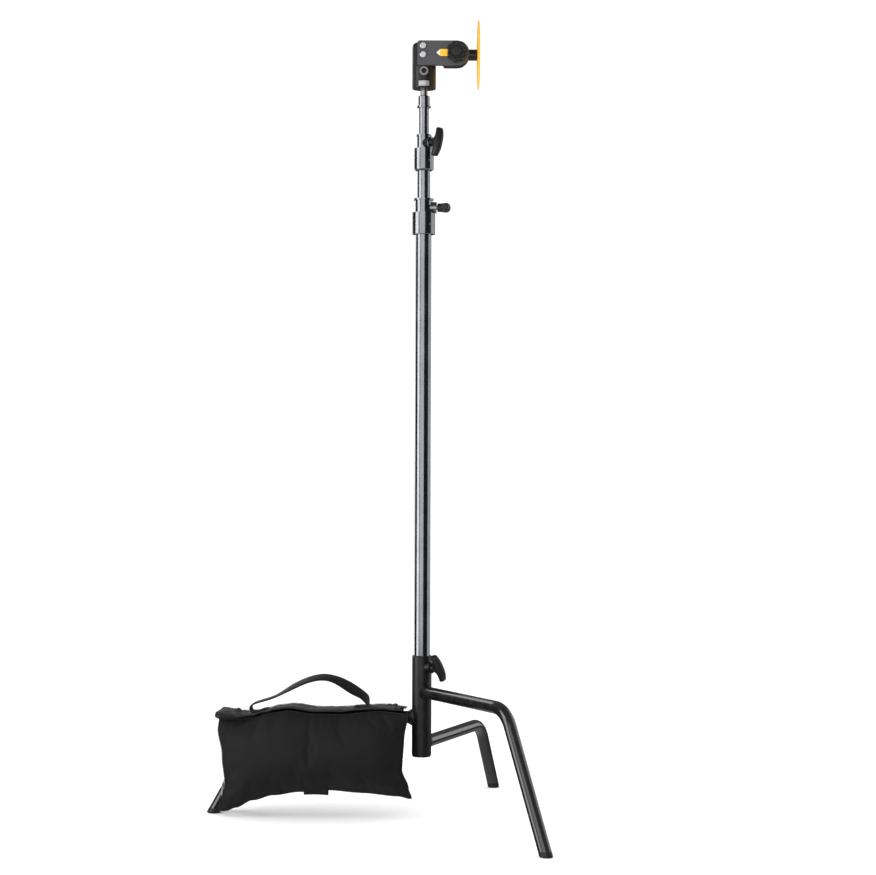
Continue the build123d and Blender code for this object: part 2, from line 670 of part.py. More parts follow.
cheek = block(CHEEK_LEFT, pivot_x, cheek_front, cheek_back, cheek_low, housing_top)
cheek = fillet(cheek.edges().filter_by(Axis.Y).group_by(Axis.X)[0], CHEEK_CORNER)
cheek += along_y(2 * CHEEK_R, cheek_front, cheek_back, pivot_x, pivot_z)
cheek = chamfer(cheek.faces().sort_by(Axis.Y)[0].outer_wire().edges(), CHEEK_CHAMFER)
knob_bore = BOLT_D + 2 * RUN
cheek -= along_y(knob_bore, cheek_front - PAST, cheek_back + PAST, pivot_x, pivot_z)
for shank in screw_shanks:
    cheek -= shank
save("head_cheek", cheek)


def cheek_screw(z):
    """A button-head screw through the cheek, with a crossed slot in its head."""
    head_front = cheek_front - CHEEK_SCREW_HEAD_H
    head = along_y(CHEEK_SCREW_HEAD_D, head_front, cheek_front, CHEEK_SCREW_X, z)
    head = fillet(edges_at(head, Axis.Y, head_front), CHEEK_SCREW_ROUND)
    slot_y = (head_front - PAST, head_front + CHEEK_SLOT_DEEP)
    long = CHEEK_SLOT_L / 2
    narrow = CHEEK_SLOT_W / 2
    for dx, dz in ((long, narrow), (narrow, long)):
        head -= block(CHEEK_SCREW_X - dx, CHEEK_SCREW_X + dx, *slot_y, z - dz, z + dz)
    return head + along_y(CHEEK_SCREW_D, cheek_front, shank_end, CHEEK_SCREW_X, z)


save("head_cheek_screws", Compound(children=[cheek_screw(z) for z in screw_zs]))

plate_z = housing_bottom + PLATE_UP
plate = ring(HOUSING_OD + 2 * PLATE_T, HOUSING_OD, plate_z - PLATE_H / 2, plate_z + PLATE_H / 2)
plate &= block(-PLATE_W / 2, PLATE_W / 2, -HOUSING_OD, 0, housing_bottom, housing_top)
save("head_blank_plate", plate)

point_half = POINTER_W / 2
pointer_right = pivot_x - POINTER_IN
pointer_left = pointer_right - POINTER_L
pointer_outline = make_face(
    Polyline(
        (pointer_right, -point_half),
        (pointer_right, point_half),
        (pointer_left, point_half),
        (pointer_left - POINTER_TIP, 0),
        (pointer_left, -point_half),
        close=True,
    )
)
pointer_plane = Plane(origin=(0, cheek_front, pivot_z), x_dir=(1, 0, 0), z_dir=(0, -1, 0))
pointer = extrude(pointer_plane * pointer_outline, POINTER_T)
pointer_front = cheek_front - POINTER_T
dimple_x = pointer_left + POINTER_PIN_IN
dimple_y = (pointer_front - PAST, pointer_front + POINTER_PIN_DEEP)
pointer -= along_y(POINTER_PIN_D, *dimple_y, dimple_x, pivot_z)
save("head_pointer", pointer)

# Tilting part
friction_od = 2 * (CHEEK_R - FRICTION_IN)
friction = along_y(friction_od, cheek_back, block_front, pivot_x, pivot_z)
friction -= along_y(BOLT_D, cheek_back - PAST, block_front + PAST, pivot_x, pivot_z)
save("tilt_friction_washer", friction)

block_tail = pivot_x - CHEEK_R - BLOCK_TAIL
tilt_block = block(
    block_tail, pivot_x, block_front, block_back, pivot_z - CHEEK_R, pivot_z + CHEEK_R
)
tilt_block = fillet(tilt_block.edges().filter_by(Axis.Y).group_by(Axis.X)[0], BLOCK_CORNER)
tilt_block += along_y(2 * CHEEK_R, block_front, block_back, pivot_x, pivot_z)
tilt_block -= along_y(BOLT_D, block_front - PAST, block_back + PAST, pivot_x, pivot_z)
stub_in = pivot_x + CHEEK_R - STUB_SUNK
stub_out = pivot_x + CHEEK_R + STUB_OUT
tilt_block -= along_x(STUB_D, stub_in, stub_out, pivot_z, block_y)
save("tilt_block", tilt_block)

disc_out = stub_out + DISC_T
screw_head_out = disc_out - DISC_SCREW_SUNK
screw_head_in = screw_head_out - DISC_SCREW_HEAD_H
disc_screw_in = stub_out - DISC_SCREW_DEPTH
disc_shank = along_x(DISC_SCREW_D, disc_screw_in, screw_head_in, pivot_z, block_y)
stub = along_x(STUB_D, stub_in, stub_out, pivot_z, block_y)
save("tilt_stub", stub - disc_shank)
disc = along_x(DISC_D, stub_out, disc_out, pivot_z, block_y)
disc = fillet(disc.edges().filter_by(GeomType.CIRCLE), DISC_ROUND)
disc -= disc_shank
disc -= along_x(DISC_SCREW_HEAD_D, screw_head_in, disc_out + PAST, pivot_z, block_y)
save("tilt_disc", disc)
disc_screw = along_x(DISC_SCREW_HEAD_D, screw_head_in, screw_head_out, pivot_z, block_y)
disc_screw = chamfer(edges_at(disc_screw, Axis.X, screw_head_out), DISC_SCREW_CHAMFER)
disc_screw += disc_shank
disc_hex = Plane(origin=(screw_head_out, block_y, pivot_z), z_dir=(-1, 0, 0)) * RegularPolygon(
    DISC_SCREW_HEX / 2, 6, major_radius=False
)
save("tilt_disc_screw", disc_screw - extrude(disc_hex, DISC_SCREW_HEX_DEEP))

washer_front = cheek_front - KNOB_WASHER_T
knob_washer = along_y(KNOB_WASHER_OD, washer_front, cheek_front, pivot_x, pivot_z)
knob_washer -= along_y(knob_bore, washer_front - PAST, cheek_front + PAST, pivot_x, pivot_z)
save("tilt_knob_washer", knob_washer)

foot_front = washer_front - KNOB_FOOT_T
knob_front = foot_front - KNOB_T
insert_front = washer_front - INSERT_L
bolt = along_y(BOLT_D, insert_front + BOLT_IN_INSERT, block_back, pivot_x, pivot_z)
bolt_hex = Plane(origin=(pivot_x, block_back, pivot_z), z_dir=(0, 1, 0)) * RegularPolygon(
    BOLT_HEAD_D / 2, 6
)
bolt += extrude(bolt_hex, BOLT_HEAD_H)
save("tilt_pivot_bolt", bolt)

knob = along_y(KNOB_D, knob_front, foot_front, pivot_x, pivot_z)
flute_at = KNOB_D / 2 + KNOB_FLUTE_R * KNOB_FLUTE_OUT
for i in range(KNOB_LOBES):
    a = radians(360 * i / KNOB_LOBES)
    x = pivot_x + flute_at * cos(a)
    z = pivot_z + flute_at * sin(a)
    knob -= along_y(2 * KNOB_FLUTE_R, knob_front - PAST, foot_front + PAST, x, z)
knob = fillet(knob.faces().sort_by(Axis.Y)[0].outer_wire().edges(), KNOB_ROUND)
knob += along_y(KNOB_FOOT_D, foot_front, washer_front, pivot_x, pivot_z)
cap_front = knob_front - KNOB_CAP_T
cap = along_y(KNOB_CAP_D, cap_front, knob_front, pivot_x, pivot_z)
knob += fillet(edges_at(cap, Axis.Y, cap_front), KNOB_CAP_ROUND)
knob -= along_y(INSERT_OD, insert_front, washer_front + PAST, pivot_x, pivot_z)
save("tilt_knob", knob)
insert = along_y(INSERT_OD, insert_front, washer_front, pivot_x, pivot_z)
insert -= along_y(knob_bore, insert_front - PAST, washer_front + PAST, pivot_x, pivot_z)
save("tilt_knob_insert", insert)

# ---------------------------------------------------------------- sandbag

bag_top = mid_z + LEG_OD / 2 + SOFT
bag_low = BAG_FLOOR_GAP + BAG_OUT_DROP
bag_in = hub_od / 2 + BAG_HUB_GAP
bag_out = bag_in + BAG_L
pouch_in = LEG_OD / 2 + SOFT


def pouch():
    """One filled pouch on the +Y side of its leg, deeper towards the leg's foot."""
    side = Plane(origin=(0, pouch_in + BAG_POUCH_T, 0), x_dir=(1, 0, 0), z_dir=(0, -1, 0))
    outline = make_face(
        Polyline(
            (bag_in, bag_top),
            (bag_in - BAG_LOW_OVER, bag_low),
            ((bag_in + bag_out) / 2, bag_low + BAG_ARCH),
            (bag_out, BAG_FLOOR_GAP),
            (bag_out, bag_top),
            close=True,
        )
    )
    shape = extrude(side * outline, BAG_POUCH_T)
    face = shape.faces().sort_by(Axis.Y)[-1]
    return fillet(face.outer_wire().edges(), BAG_ROUND)


def grip():
    """The flat oval handle: an uneven arch that is highest nearer the column."""
    base = bag_top + SADDLE_T
    # Where the strap's line turns, as shares of its span and of its crown's height
    turns = [(0, 0), (0, 0.35), (0.22, 0.87), (0.38, 1), (0.57, 0.82), (1, 0.23), (1, 0)]
    line = [
        (bag_in + GRIP_FROM + along * GRIP_SPAN, 0, base + up * GRIP_CROWN)
        for along, up in turns
    ]
    path = FilletPolyline(*line, radius=GRIP_BEND)
    start = Plane(origin=path @ 0, x_dir=(0, 1, 0), z_dir=path % 0)
    return sweep(start * Ellipse(GRIP_W / 2, GRIP_T / 2), path=path)


front = pouch()
save("bag_front_pouch", turned(front, MID_BEARING))
save("bag_rear_pouch", turned(mirror(front, about=Plane.XZ), MID_BEARING))
saddle_out = bag_out + SADDLE_OVER
saddle = block(bag_in, saddle_out, -SADDLE_W / 2, SADDLE_W / 2, bag_top, bag_top + SADDLE_T)
saddle = fillet(saddle.edges().filter_by(Axis.X).group_by(Axis.Z)[-1], SADDLE_ROUND)
save("bag_saddle", turned(saddle, MID_BEARING))
save("bag_handle", turned(grip(), MID_BEARING))
tab_x = bag_in + TAB_FROM
tab_y = pouch_in + BAG_POUCH_T / 2
tab_low = bag_low - TAB_DROP
tab = block(tab_x - TAB_W / 2, tab_x + TAB_W / 2, tab_y, tab_y + TAB_T, tab_low, bag_top)
tab -= front
tab = tab.solids().sort_by(Axis.Z)[0]
save("bag_pull_tab", turned(tab, MID_BEARING))
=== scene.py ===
import json
import math

import bmesh
import bpy
from mathutils import Matrix, Vector
from mathutils.bvhtree import BVHTree
from mathutils.noise import noise


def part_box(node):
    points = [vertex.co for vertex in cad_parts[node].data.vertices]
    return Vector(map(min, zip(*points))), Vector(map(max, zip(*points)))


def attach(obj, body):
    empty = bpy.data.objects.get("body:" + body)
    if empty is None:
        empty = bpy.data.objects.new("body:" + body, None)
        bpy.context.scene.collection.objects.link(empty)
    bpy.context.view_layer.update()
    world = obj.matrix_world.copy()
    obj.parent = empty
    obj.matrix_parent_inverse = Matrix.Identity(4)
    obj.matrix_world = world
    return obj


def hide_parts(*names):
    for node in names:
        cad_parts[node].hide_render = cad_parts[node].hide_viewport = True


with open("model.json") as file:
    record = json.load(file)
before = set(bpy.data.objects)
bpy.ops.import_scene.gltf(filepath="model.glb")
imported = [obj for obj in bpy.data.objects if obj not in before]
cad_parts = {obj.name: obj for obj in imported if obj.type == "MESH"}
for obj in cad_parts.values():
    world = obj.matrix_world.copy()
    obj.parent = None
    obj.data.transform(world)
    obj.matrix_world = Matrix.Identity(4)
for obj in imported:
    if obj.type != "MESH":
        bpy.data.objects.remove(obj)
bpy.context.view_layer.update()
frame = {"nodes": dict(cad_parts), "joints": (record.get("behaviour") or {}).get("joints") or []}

# A studio c stand in black chrome and black enamel, with a small tilting grip head and a
# filled saddle bag over one leg. Metres; every place comes from the frame's own nodes.

MM = 0.001
UP = Vector((0, 0, 1))
nodes = frame["nodes"]
joints = {j["name"]: j for j in frame["joints"]}


# ---------------------------------------------------------------- reading the frame


def span(node, way):
    """Lowest and highest reach of a CAD node along a direction."""
    reach = [v.co.dot(way) for v in nodes[node].data.vertices]
    return min(reach), max(reach)


def middle(node):
    """The middle of a CAD node's box."""
    low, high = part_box(node)
    return (low + high) / 2


def bearing_of(node):
    """Which way a node lies from the column, as an angle about Z from +X."""
    place = middle(node)
    return math.atan2(place.y, place.x)


def ease(x):
    """A smooth step from 0 to 1."""
    x = min(1, max(0, x))
    return x * x * (3 - 2 * x)


def follow(points, x):
    """The smooth height at x of a line through a few (place, height) points."""
    if x <= points[0][0]:
        return points[0][1]
    for (x0, h0), (x1, h1) in zip(points, points[1:]):
        if x <= x1:
            return h0 + (h1 - h0) * ease((x - x0) / (x1 - x0))
    return points[-1][1]


# ---------------------------------------------------------------- working by hand


def hold(obj):
    """Selects one object alone, in object mode."""
    if bpy.context.object and bpy.context.object.mode != "OBJECT":
        bpy.ops.object.mode_set(mode="OBJECT")
    bpy.ops.object.select_all(action="DESELECT")
    obj.select_set(True)
    bpy.context.view_layer.objects.active = obj


def start(name):
    """Names the primitive just added and puts its place into its mesh."""
    obj = bpy.context.object
    obj.name = name
    obj.data.name = name
    bpy.ops.object.transform_apply(location=True, rotation=True, scale=True)
    return obj


def clear():
    """Deselects everything before a new primitive."""
    if bpy.context.object and bpy.context.object.mode != "OBJECT":
        bpy.ops.object.mode_set(mode="OBJECT")
    bpy.ops.object.select_all(action="DESELECT")


def choose(obj, kind, test):
    """In edit mode, selects only the verts, edges or faces that pass the test."""
    bpy.ops.mesh.select_mode(type={"verts": "VERT", "edges": "EDGE", "faces": "FACE"}[kind])
    bpy.ops.mesh.select_all(action="DESELECT")
    mesh = bmesh.from_edit_mesh(obj.data)
    for item in getattr(mesh, kind):
        if test(item):
            item.select_set(True)
    bmesh.update_edit_mesh(obj.data)


def push(way):
    """Extrudes the selected faces."""
    bpy.ops.mesh.extrude_region_move(TRANSFORM_OT_translate={"value": way})


def edit(obj):
    """Opens one object alone in edit mode."""
    hold(obj)
    bpy.ops.object.mode_set(mode="EDIT")


def work(obj, kind, **settings):
    """Adds a modifier and applies it at once."""
    hold(obj)
    modifier = obj.modifiers.new(kind.title(), kind)
    for name, value in settings.items():
        setattr(modifier, name, value)
    bpy.ops.object.modifier_apply(modifier=modifier.name)


def rounded(obj, levels):
    """Subdivides to a smooth surface and shades it smooth."""
    work(obj, "SUBSURF", levels=levels, render_levels=levels)
    bpy.ops.object.shade_smooth()


def outward(obj):
    """Merges doubles and turns every face of a closed shape outwards."""
    edit(obj)
    bpy.ops.mesh.select_all(action="SELECT")
    bpy.ops.mesh.remove_doubles(threshold=0.01 * MM)
    bpy.ops.mesh.normals_make_consistent(inside=False)
    if bmesh.from_edit_mesh(obj.data).calc_volume(signed=True) < 0:
        bpy.ops.mesh.flip_normals()
    bpy.ops.object.mode_set(mode="OBJECT")


def place(obj, matrix):
    """Moves an object to its place and puts that place into its mesh."""
    hold(obj)
    obj.matrix_world = matrix
    bpy.ops.object.transform_apply(location=True, rotation=True, scale=True)


def copy_of(obj, name):
    """A copy with its own mesh."""
    twin = obj.copy()
    twin.data = obj.data.copy()
    twin.name = name
    twin.data.name = name
    bpy.context.scene.collection.objects.link(twin)
    return twin


def joined(name, parts):
    """Joins several objects to one."""
    hold(parts[0])
    for part in parts:
        part.select_set(True)
    bpy.ops.object.join()
    parts[0].name = name
    parts[0].data.name = name
    return parts[0]


def fit_out(obj, stuff, body, slot, *stands_for):
    """Gives a finished piece its material and its body, and hides the nodes it stands for. The slot
    argument is not used.
    """
    obj.data.materials.clear()
    obj.data.materials.append(stuff)
    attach(obj, body)
    if stands_for:
        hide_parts(*stands_for)


# ---------------------------------------------------------------- materials


def paint(hex_colour):
    """An sRGB hex colour as linear RGBA."""
    shares = [int(hex_colour[i:i + 2], 16) / 255 for i in (1, 3, 5)]
    linear = [s / 12.92 if s <= 0.04045 else ((s + 0.055) / 1.055) ** 2.4 for s in shares]
    return (*linear, 1.0)


def add(tree, kind, feeds=(), **settings):
    """One shader node, with its settings and what feeds each input: a socket or a value."""
    node = tree.nodes.new("ShaderNode" + kind)
    for name, value in settings.items():
        setattr(node, name, value)
    for socket, value in dict(feeds).items():
        if isinstance(value, bpy.types.NodeSocket):
            tree.links.new(value, node.inputs[socket])
        else:
            node.inputs[socket].default_value = value
    return node


def surface(name, **numbers):
    """A material and its shader, with the numbers that hold all over it."""
    stuff = bpy.data.materials.new(name)
    stuff.use_nodes = True
    tree = stuff.node_tree
    shader = tree.nodes["Principled BSDF"]
    for socket, value in numbers.items():
        shader.inputs[socket.replace("_", " ").title().replace("Ior", "IOR")].default_value = value
    return stuff, tree, shader


def wire(tree, shader, **feeds):
    """Links sockets to the shader's inputs."""
    for socket, source in feeds.items():
        tree.links.new(source, shader.inputs[socket.replace("_", " ").title()])


def ramp_of(tree, source, *stops):
    """A colour ramp of (place, colour) stops."""
    node = add(tree, "ValToRGB", {"Fac": source})
    points = node.color_ramp.elements
    points[0].position, points[0].color = stops[0]
    points[1].position, points[1].color = stops[-1]
    for position, colour in stops[1:-1]:
        points.new(position).color = colour
    return node.outputs["Color"]


def black_chrome():
    """Black chrome plate on drawn steel tube: a dark mirror with faint lengthwise draw lines
    and hand smudges, so reflections are crisp, with a slightly broken edge."""
    stuff, tree, shader = surface("black_chrome_plate", metallic=1.0, roughness=0.12)
    where = add(tree, "TexCoord").outputs["Object"]
    along = add(tree, "Mapping", {"Vector": where, "Scale": (1, 1, 0.012)})
    lines = add(tree, "TexNoise", {"Vector": along.outputs[0], "Scale": 1 / (3.5 * MM), "Detail": 2})
    smudge = add(tree, "TexNoise", {"Vector": where, "Scale": 1 / (35 * MM), "Detail": 5, "Roughness": 0.6})
    both = add(tree, "Math", {0: lines.outputs["Fac"], 1: smudge.outputs["Fac"]}, operation="MULTIPLY")
    rough = add(tree, "MapRange", {"Value": both.outputs[0], "From Min": 0.12, "From Max": 0.42,
                                   "To Min": 0.11, "To Max": 0.2})
    tone = ramp_of(tree, smudge.outputs["Fac"], (0.3, paint("#84858A")), (0.7, paint("#94959A")))
    wire(tree, shader, base_color=tone, roughness=rough.outputs[0])
    return stuff


def black_enamel():
    """Gloss black stove enamel on bent tube: near-black under a clear hard gloss, with a
    faint orange peel that softens the long highlights and dust in a few places."""
    stuff, tree, shader = surface("gloss_black_enamel", roughness=0.2, coat_weight=1.0, coat_roughness=0.04)
    where = add(tree, "TexCoord").outputs["Object"]
    peel = add(tree, "TexNoise", {"Vector": where, "Scale": 1 / (4 * MM), "Detail": 2})
    dust = add(tree, "TexNoise", {"Vector": where, "Scale": 1 / (28 * MM), "Detail": 6, "Roughness": 0.65})
    tone = ramp_of(tree, dust.outputs["Fac"], (0.35, paint("#09090A")), (0.75, paint("#171718")))
    rough = add(tree, "MapRange", {"Value": dust.outputs["Fac"], "From Min": 0.3, "From Max": 0.75,
                                   "To Min": 0.12, "To Max": 0.34})
    bump = add(tree, "Bump", {"Height": peel.outputs["Fac"], "Strength": 0.05, "Distance": 0.4 * MM})
    wire(tree, shader, base_color=tone, roughness=rough.outputs[0], normal=bump.outputs[0])
    return stuff


def black_cast():
    """Cast iron and aluminium under black e-coat: satin, slightly pebbled by the sand mould,
    greyer where it is handled."""
    stuff, tree, shader = surface("black_e_coat_casting", roughness=0.42)
    where = add(tree, "TexCoord").outputs["Object"]
    sand = add(tree, "TexNoise", {"Vector": where, "Scale": 1 / (1.1 * MM), "Detail": 3})
    pits = add(tree, "TexVoronoi", {"Vector": where, "Scale": 1 / (2.6 * MM)})
    wear = add(tree, "TexNoise", {"Vector": where, "Scale": 1 / (14 * MM), "Detail": 5})
    tone = ramp_of(tree, wear.outputs["Fac"], (0.35, paint("#0D0D0E")), (0.6, paint("#131314")),
                   (0.8, paint("#222223")))
    rough = add(tree, "MapRange", {"Value": wear.outputs["Fac"], "From Min": 0.3, "From Max": 0.8,
                                   "To Min": 0.36, "To Max": 0.5})
    grit = add(tree, "Math", {0: sand.outputs["Fac"], 1: pits.outputs["Distance"]}, operation="ADD")
    bump = add(tree, "Bump", {"Height": grit.outputs[0], "Strength": 0.22, "Distance": 0.25 * MM})
    wire(tree, shader, base_color=tone, roughness=rough.outputs[0], normal=bump.outputs[0])
    return stuff


def black_cast_smooth():
    """Steel sleeve turned smooth and powder coated satin black: an even soft stripe of light."""
    stuff, tree, shader = surface("satin_black_powder_coat", roughness=0.33)
    where = add(tree, "TexCoord").outputs["Object"]
    peel = add(tree, "TexNoise", {"Vector": where, "Scale": 1 / (0.9 * MM), "Detail": 2})
    wear = add(tree, "TexNoise", {"Vector": where, "Scale": 1 / (18 * MM), "Detail": 6})
    tone = ramp_of(tree, wear.outputs["Fac"], (0.35, paint("#0A0A0B")), (0.75, paint("#151516")))
    bump = add(tree, "Bump", {"Height": peel.outputs["Fac"], "Strength": 0.08, "Distance": 0.1 * MM})
    wire(tree, shader, base_color=tone, normal=bump.outputs[0])
    return stuff


def lacquered_cast(name, low, high):
    """Die-cast aluminium under metallic lacquer: satin, with a fine sparkle of flake."""
    stuff, tree, shader = surface(name, metallic=0.15, roughness=0.36)
    where = add(tree, "TexCoord").outputs["Object"]
    flake = add(tree, "TexVoronoi", {"Vector": where, "Scale": 1 / (0.7 * MM)})
    cloud = add(tree, "TexNoise", {"Vector": where, "Scale": 1 / (20 * MM), "Detail": 4})
    tone = ramp_of(tree, flake.outputs["Color"], (0.2, paint(low)), (0.9, paint(high)))
    rough = add(tree, "MapRange", {"Value": cloud.outputs["Fac"], "From Min": 0.3, "From Max": 0.7,
                                   "To Min": 0.34, "To Max": 0.46})
    bump = add(tree, "Bump", {"Height": flake.outputs["Distance"], "Strength": 0.08, "Distance": 0.15 * MM})
    wire(tree, shader, base_color=tone, roughness=rough.outputs[0], normal=bump.outputs[0])
    return stuff


def bright_steel():
    """Turned stainless steel: bright, with the lathe's fine rings blurring its highlights."""
    stuff, tree, shader = surface("turned_stainless_steel", metallic=1.0, roughness=0.24)
    where = add(tree, "TexCoord").outputs["Object"]
    rings = add(tree, "TexNoise", {"Vector": where, "Scale": 1 / (0.6 * MM), "Detail": 4})
    tone = ramp_of(tree, rings.outputs["Fac"], (0.3, paint("#BDBDBE")), (0.7, paint("#D6D6D6")))
    rough = add(tree, "MapRange", {"Value": rings.outputs["Fac"], "To Min": 0.18, "To Max": 0.32})
    wire(tree, shader, base_color=tone, roughness=rough.outputs[0])
    return stuff


def zinc_steel():
    """Bright zinc plate on screws and rings: bluish grey with cloudy patches."""
    stuff, tree, shader = surface("bright_zinc_plate", metallic=1.0, roughness=0.3)
    where = add(tree, "TexCoord").outputs["Object"]
    cloud = add(tree, "TexNoise", {"Vector": where, "Scale": 1 / (3 * MM), "Detail": 5})
    tone = ramp_of(tree, cloud.outputs["Fac"], (0.3, paint("#9EA1A6")), (0.7, paint("#C2C5C9")))
    rough = add(tree, "MapRange", {"Value": cloud.outputs["Fac"], "To Min": 0.2, "To Max": 0.4})
    wire(tree, shader, base_color=tone, roughness=rough.outputs[0])
    return stuff


def plain(name, low, high, grain, roughness, depth, metallic=0.0):
    """A moulded or cast material of two near tones, mottled and roughened by its grain."""
    stuff, tree, shader = surface(name, roughness=roughness, metallic=metallic)
    where = add(tree, "TexCoord").outputs["Object"]
    speck = add(tree, "TexNoise", {"Vector": where, "Scale": 1 / grain, "Detail": 4})
    patch = add(tree, "TexNoise", {"Vector": where, "Scale": 1 / (12 * MM), "Detail": 5})
    tone = ramp_of(tree, patch.outputs["Fac"], (0.35, paint(low)), (0.7, paint(high)))
    rough = add(tree, "MapRange", {"Value": patch.outputs["Fac"], "From Min": 0.3, "From Max": 0.7,
                                   "To Min": roughness - 0.06, "To Max": roughness + 0.08})
    bump = add(tree, "Bump", {"Height": speck.outputs["Fac"], "Strength": 0.3, "Distance": depth})
    wire(tree, shader, base_color=tone, roughness=rough.outputs[0], normal=bump.outputs[0])
    return stuff


def pointer_plastic(edge):
    """Moulded yellow ABS, glossy, with a painted highlight: its tip is coloured white, the two colours
    meeting sharply.
    """
    stuff, tree, shader = surface("yellow_abs_white_tip", roughness=0.35)
    where = add(tree, "TexCoord").outputs["Object"]
    apart = add(tree, "SeparateXYZ", {"Vector": where})
    # Painted highlight: everything nearer the tip than edge is coloured white.
    tip = add(tree, "Math", {0: apart.outputs["X"], 1: edge}, operation="LESS_THAN")
    tone = add(tree, "MixRGB", {"Fac": tip.outputs[0], "Color1": paint("#F4B419"),
                                "Color2": paint("#EDE6DF")})
    grain = add(tree, "TexNoise", {"Vector": where, "Scale": 1 / (0.5 * MM)})
    bump = add(tree, "Bump", {"Height": grain.outputs["Fac"], "Strength": 0.15, "Distance": 0.1 * MM})
    wire(tree, shader, base_color=tone.outputs[0], normal=bump.outputs[0])
    return stuff


def woven(name, low, high, pitch, roughness, depth):
    """Nylon cloth on the piece's own UV map, which is in metres: warp and weft threads that
    cross, a soft sheen on the raised threads, and dustier patches. The threads are drawn two
    to three times their real width, because the real ones are too fine to show."""
    stuff, tree, shader = surface(name, roughness=roughness, sheen_weight=0.08, sheen_roughness=0.4,
                                  specular_ior_level=0.3)
    flat = add(tree, "TexCoord").outputs["UV"]
    where = add(tree, "TexCoord").outputs["Object"]
    warp = add(tree, "TexWave", {"Vector": flat, "Scale": math.pi / (10 * pitch), "Distortion": 0.6},
               bands_direction="X")
    weft = add(tree, "TexWave", {"Vector": flat, "Scale": math.pi / (10 * pitch), "Distortion": 0.6},
               bands_direction="Y")
    cross = add(tree, "Math", {0: warp.outputs["Fac"], 1: weft.outputs["Fac"]}, operation="MULTIPLY")
    dust = add(tree, "TexNoise", {"Vector": where, "Scale": 1 / (40 * MM), "Detail": 6, "Roughness": 0.6})
    shade = add(tree, "Math", {0: cross.outputs[0], 1: dust.outputs["Fac"]}, operation="MULTIPLY")
    tone = ramp_of(tree, shade.outputs[0], (0.05, paint(low)), (0.5, paint(high)))
    bump = add(tree, "Bump", {"Height": cross.outputs[0], "Strength": 0.5, "Distance": depth})
    wire(tree, shader, base_color=tone, normal=bump.outputs[0])
    return stuff


def webbing(name, low, high, rib):
    """Nylon webbing on its own UV map, in metres, with u along it: ribs across the strap,
    lanes of thread along it, and a low silky sheen."""
    stuff, tree, shader = surface(name, roughness=0.6, sheen_weight=0.08, sheen_roughness=0.35,
                                  specular_ior_level=0.3)
    flat = add(tree, "TexCoord").outputs["UV"]
    where = add(tree, "TexCoord").outputs["Object"]
    ribs = add(tree, "TexWave", {"Vector": flat, "Scale": math.pi / (10 * rib), "Distortion": 0.4},
               bands_direction="X")
    lanes = add(tree, "TexWave", {"Vector": flat, "Scale": math.pi / (10 * rib * 1.6)},
                bands_direction="Y")
    cross = add(tree, "Math", {0: ribs.outputs["Fac"], 1: lanes.outputs["Fac"]}, operation="MULTIPLY")
    dust = add(tree, "TexNoise", {"Vector": where, "Scale": 1 / (20 * MM), "Detail": 5})
    shade = add(tree, "Math", {0: cross.outputs[0], 1: dust.outputs["Fac"]}, operation="MULTIPLY")
    tone = ramp_of(tree, shade.outputs[0], (0.05, paint(low)), (0.5, paint(high)))
    bump = add(tree, "Bump", {"Height": cross.outputs[0], "Strength": 0.6, "Distance": 0.5 * MM})
    wire(tree, shader, base_color=tone, normal=bump.outputs[0])
    return stuff


CHROME = black_chrome()
ENAMEL = black_enamel()
CAST = black_cast()
POWDER = black_cast_smooth()
GREY = lacquered_cast("grey_lacquered_die_casting", "#3A3A3C", "#4C4C4E")
RING = lacquered_cast("grey_lacquered_lock_ring", "#666668", "#7A7A7C")
DARK = lacquered_cast("dark_lacquered_die_casting", "#111112", "#1E1E20")
BRIGHT = bright_steel()
ZINC = zinc_steel()
BRASS = plain("turned_brass", "#A98442", "#C4A05A", 0.8 * MM, 0.3, 0.05 * MM, metallic=1.0)
NYLON_BLACK = plain("moulded_black_nylon", "#0E0E0F", "#161617", 0.6 * MM, 0.5, 0.1 * MM)
WASHER = plain("oiled_black_nylon_washer", "#101011", "#1A1A1B", 0.6 * MM, 0.4, 0.08 * MM)
FOOT = plain("moulded_black_pvc", "#0A0A0B", "#141415", 0.8 * MM, 0.45, 0.1 * MM)
KNOB = plain("spark_grained_black_abs", "#0C0C0D", "#151516", 0.7 * MM, 0.44, 0.1 * MM)
YELLOW = plain("yellow_powder_coat", "#E6A518", "#EDB028", 1.2 * MM, 0.36, 0.12 * MM)
PLATE = plain("satin_grey_anodised_plate", "#A8A8AA", "#BCBCBE", 0.5 * MM, 0.3, 0.05 * MM, metallic=0.6)
CLOTH = woven("black_ballistic_nylon", "#070708", "#171718", 1.6 * MM, 0.7, 0.35 * MM)
WEBBING = webbing("black_nylon_webbing", "#060607", "#141415", 2.2 * MM)
BINDING = plain("black_nylon_binding", "#080809", "#101011", 0.9 * MM, 0.66, 0.15 * MM)
THREAD = plain("black_bonded_thread", "#1A1A1B", "#333334", 0.5 * MM, 0.6, 0.1 * MM)
# The pointer's painted highlight: its first 7.5 mm from the tip are coloured white.
POINTER = pointer_plastic(span("head_pointer", Vector((1, 0, 0)))[0] + 7.5 * MM)

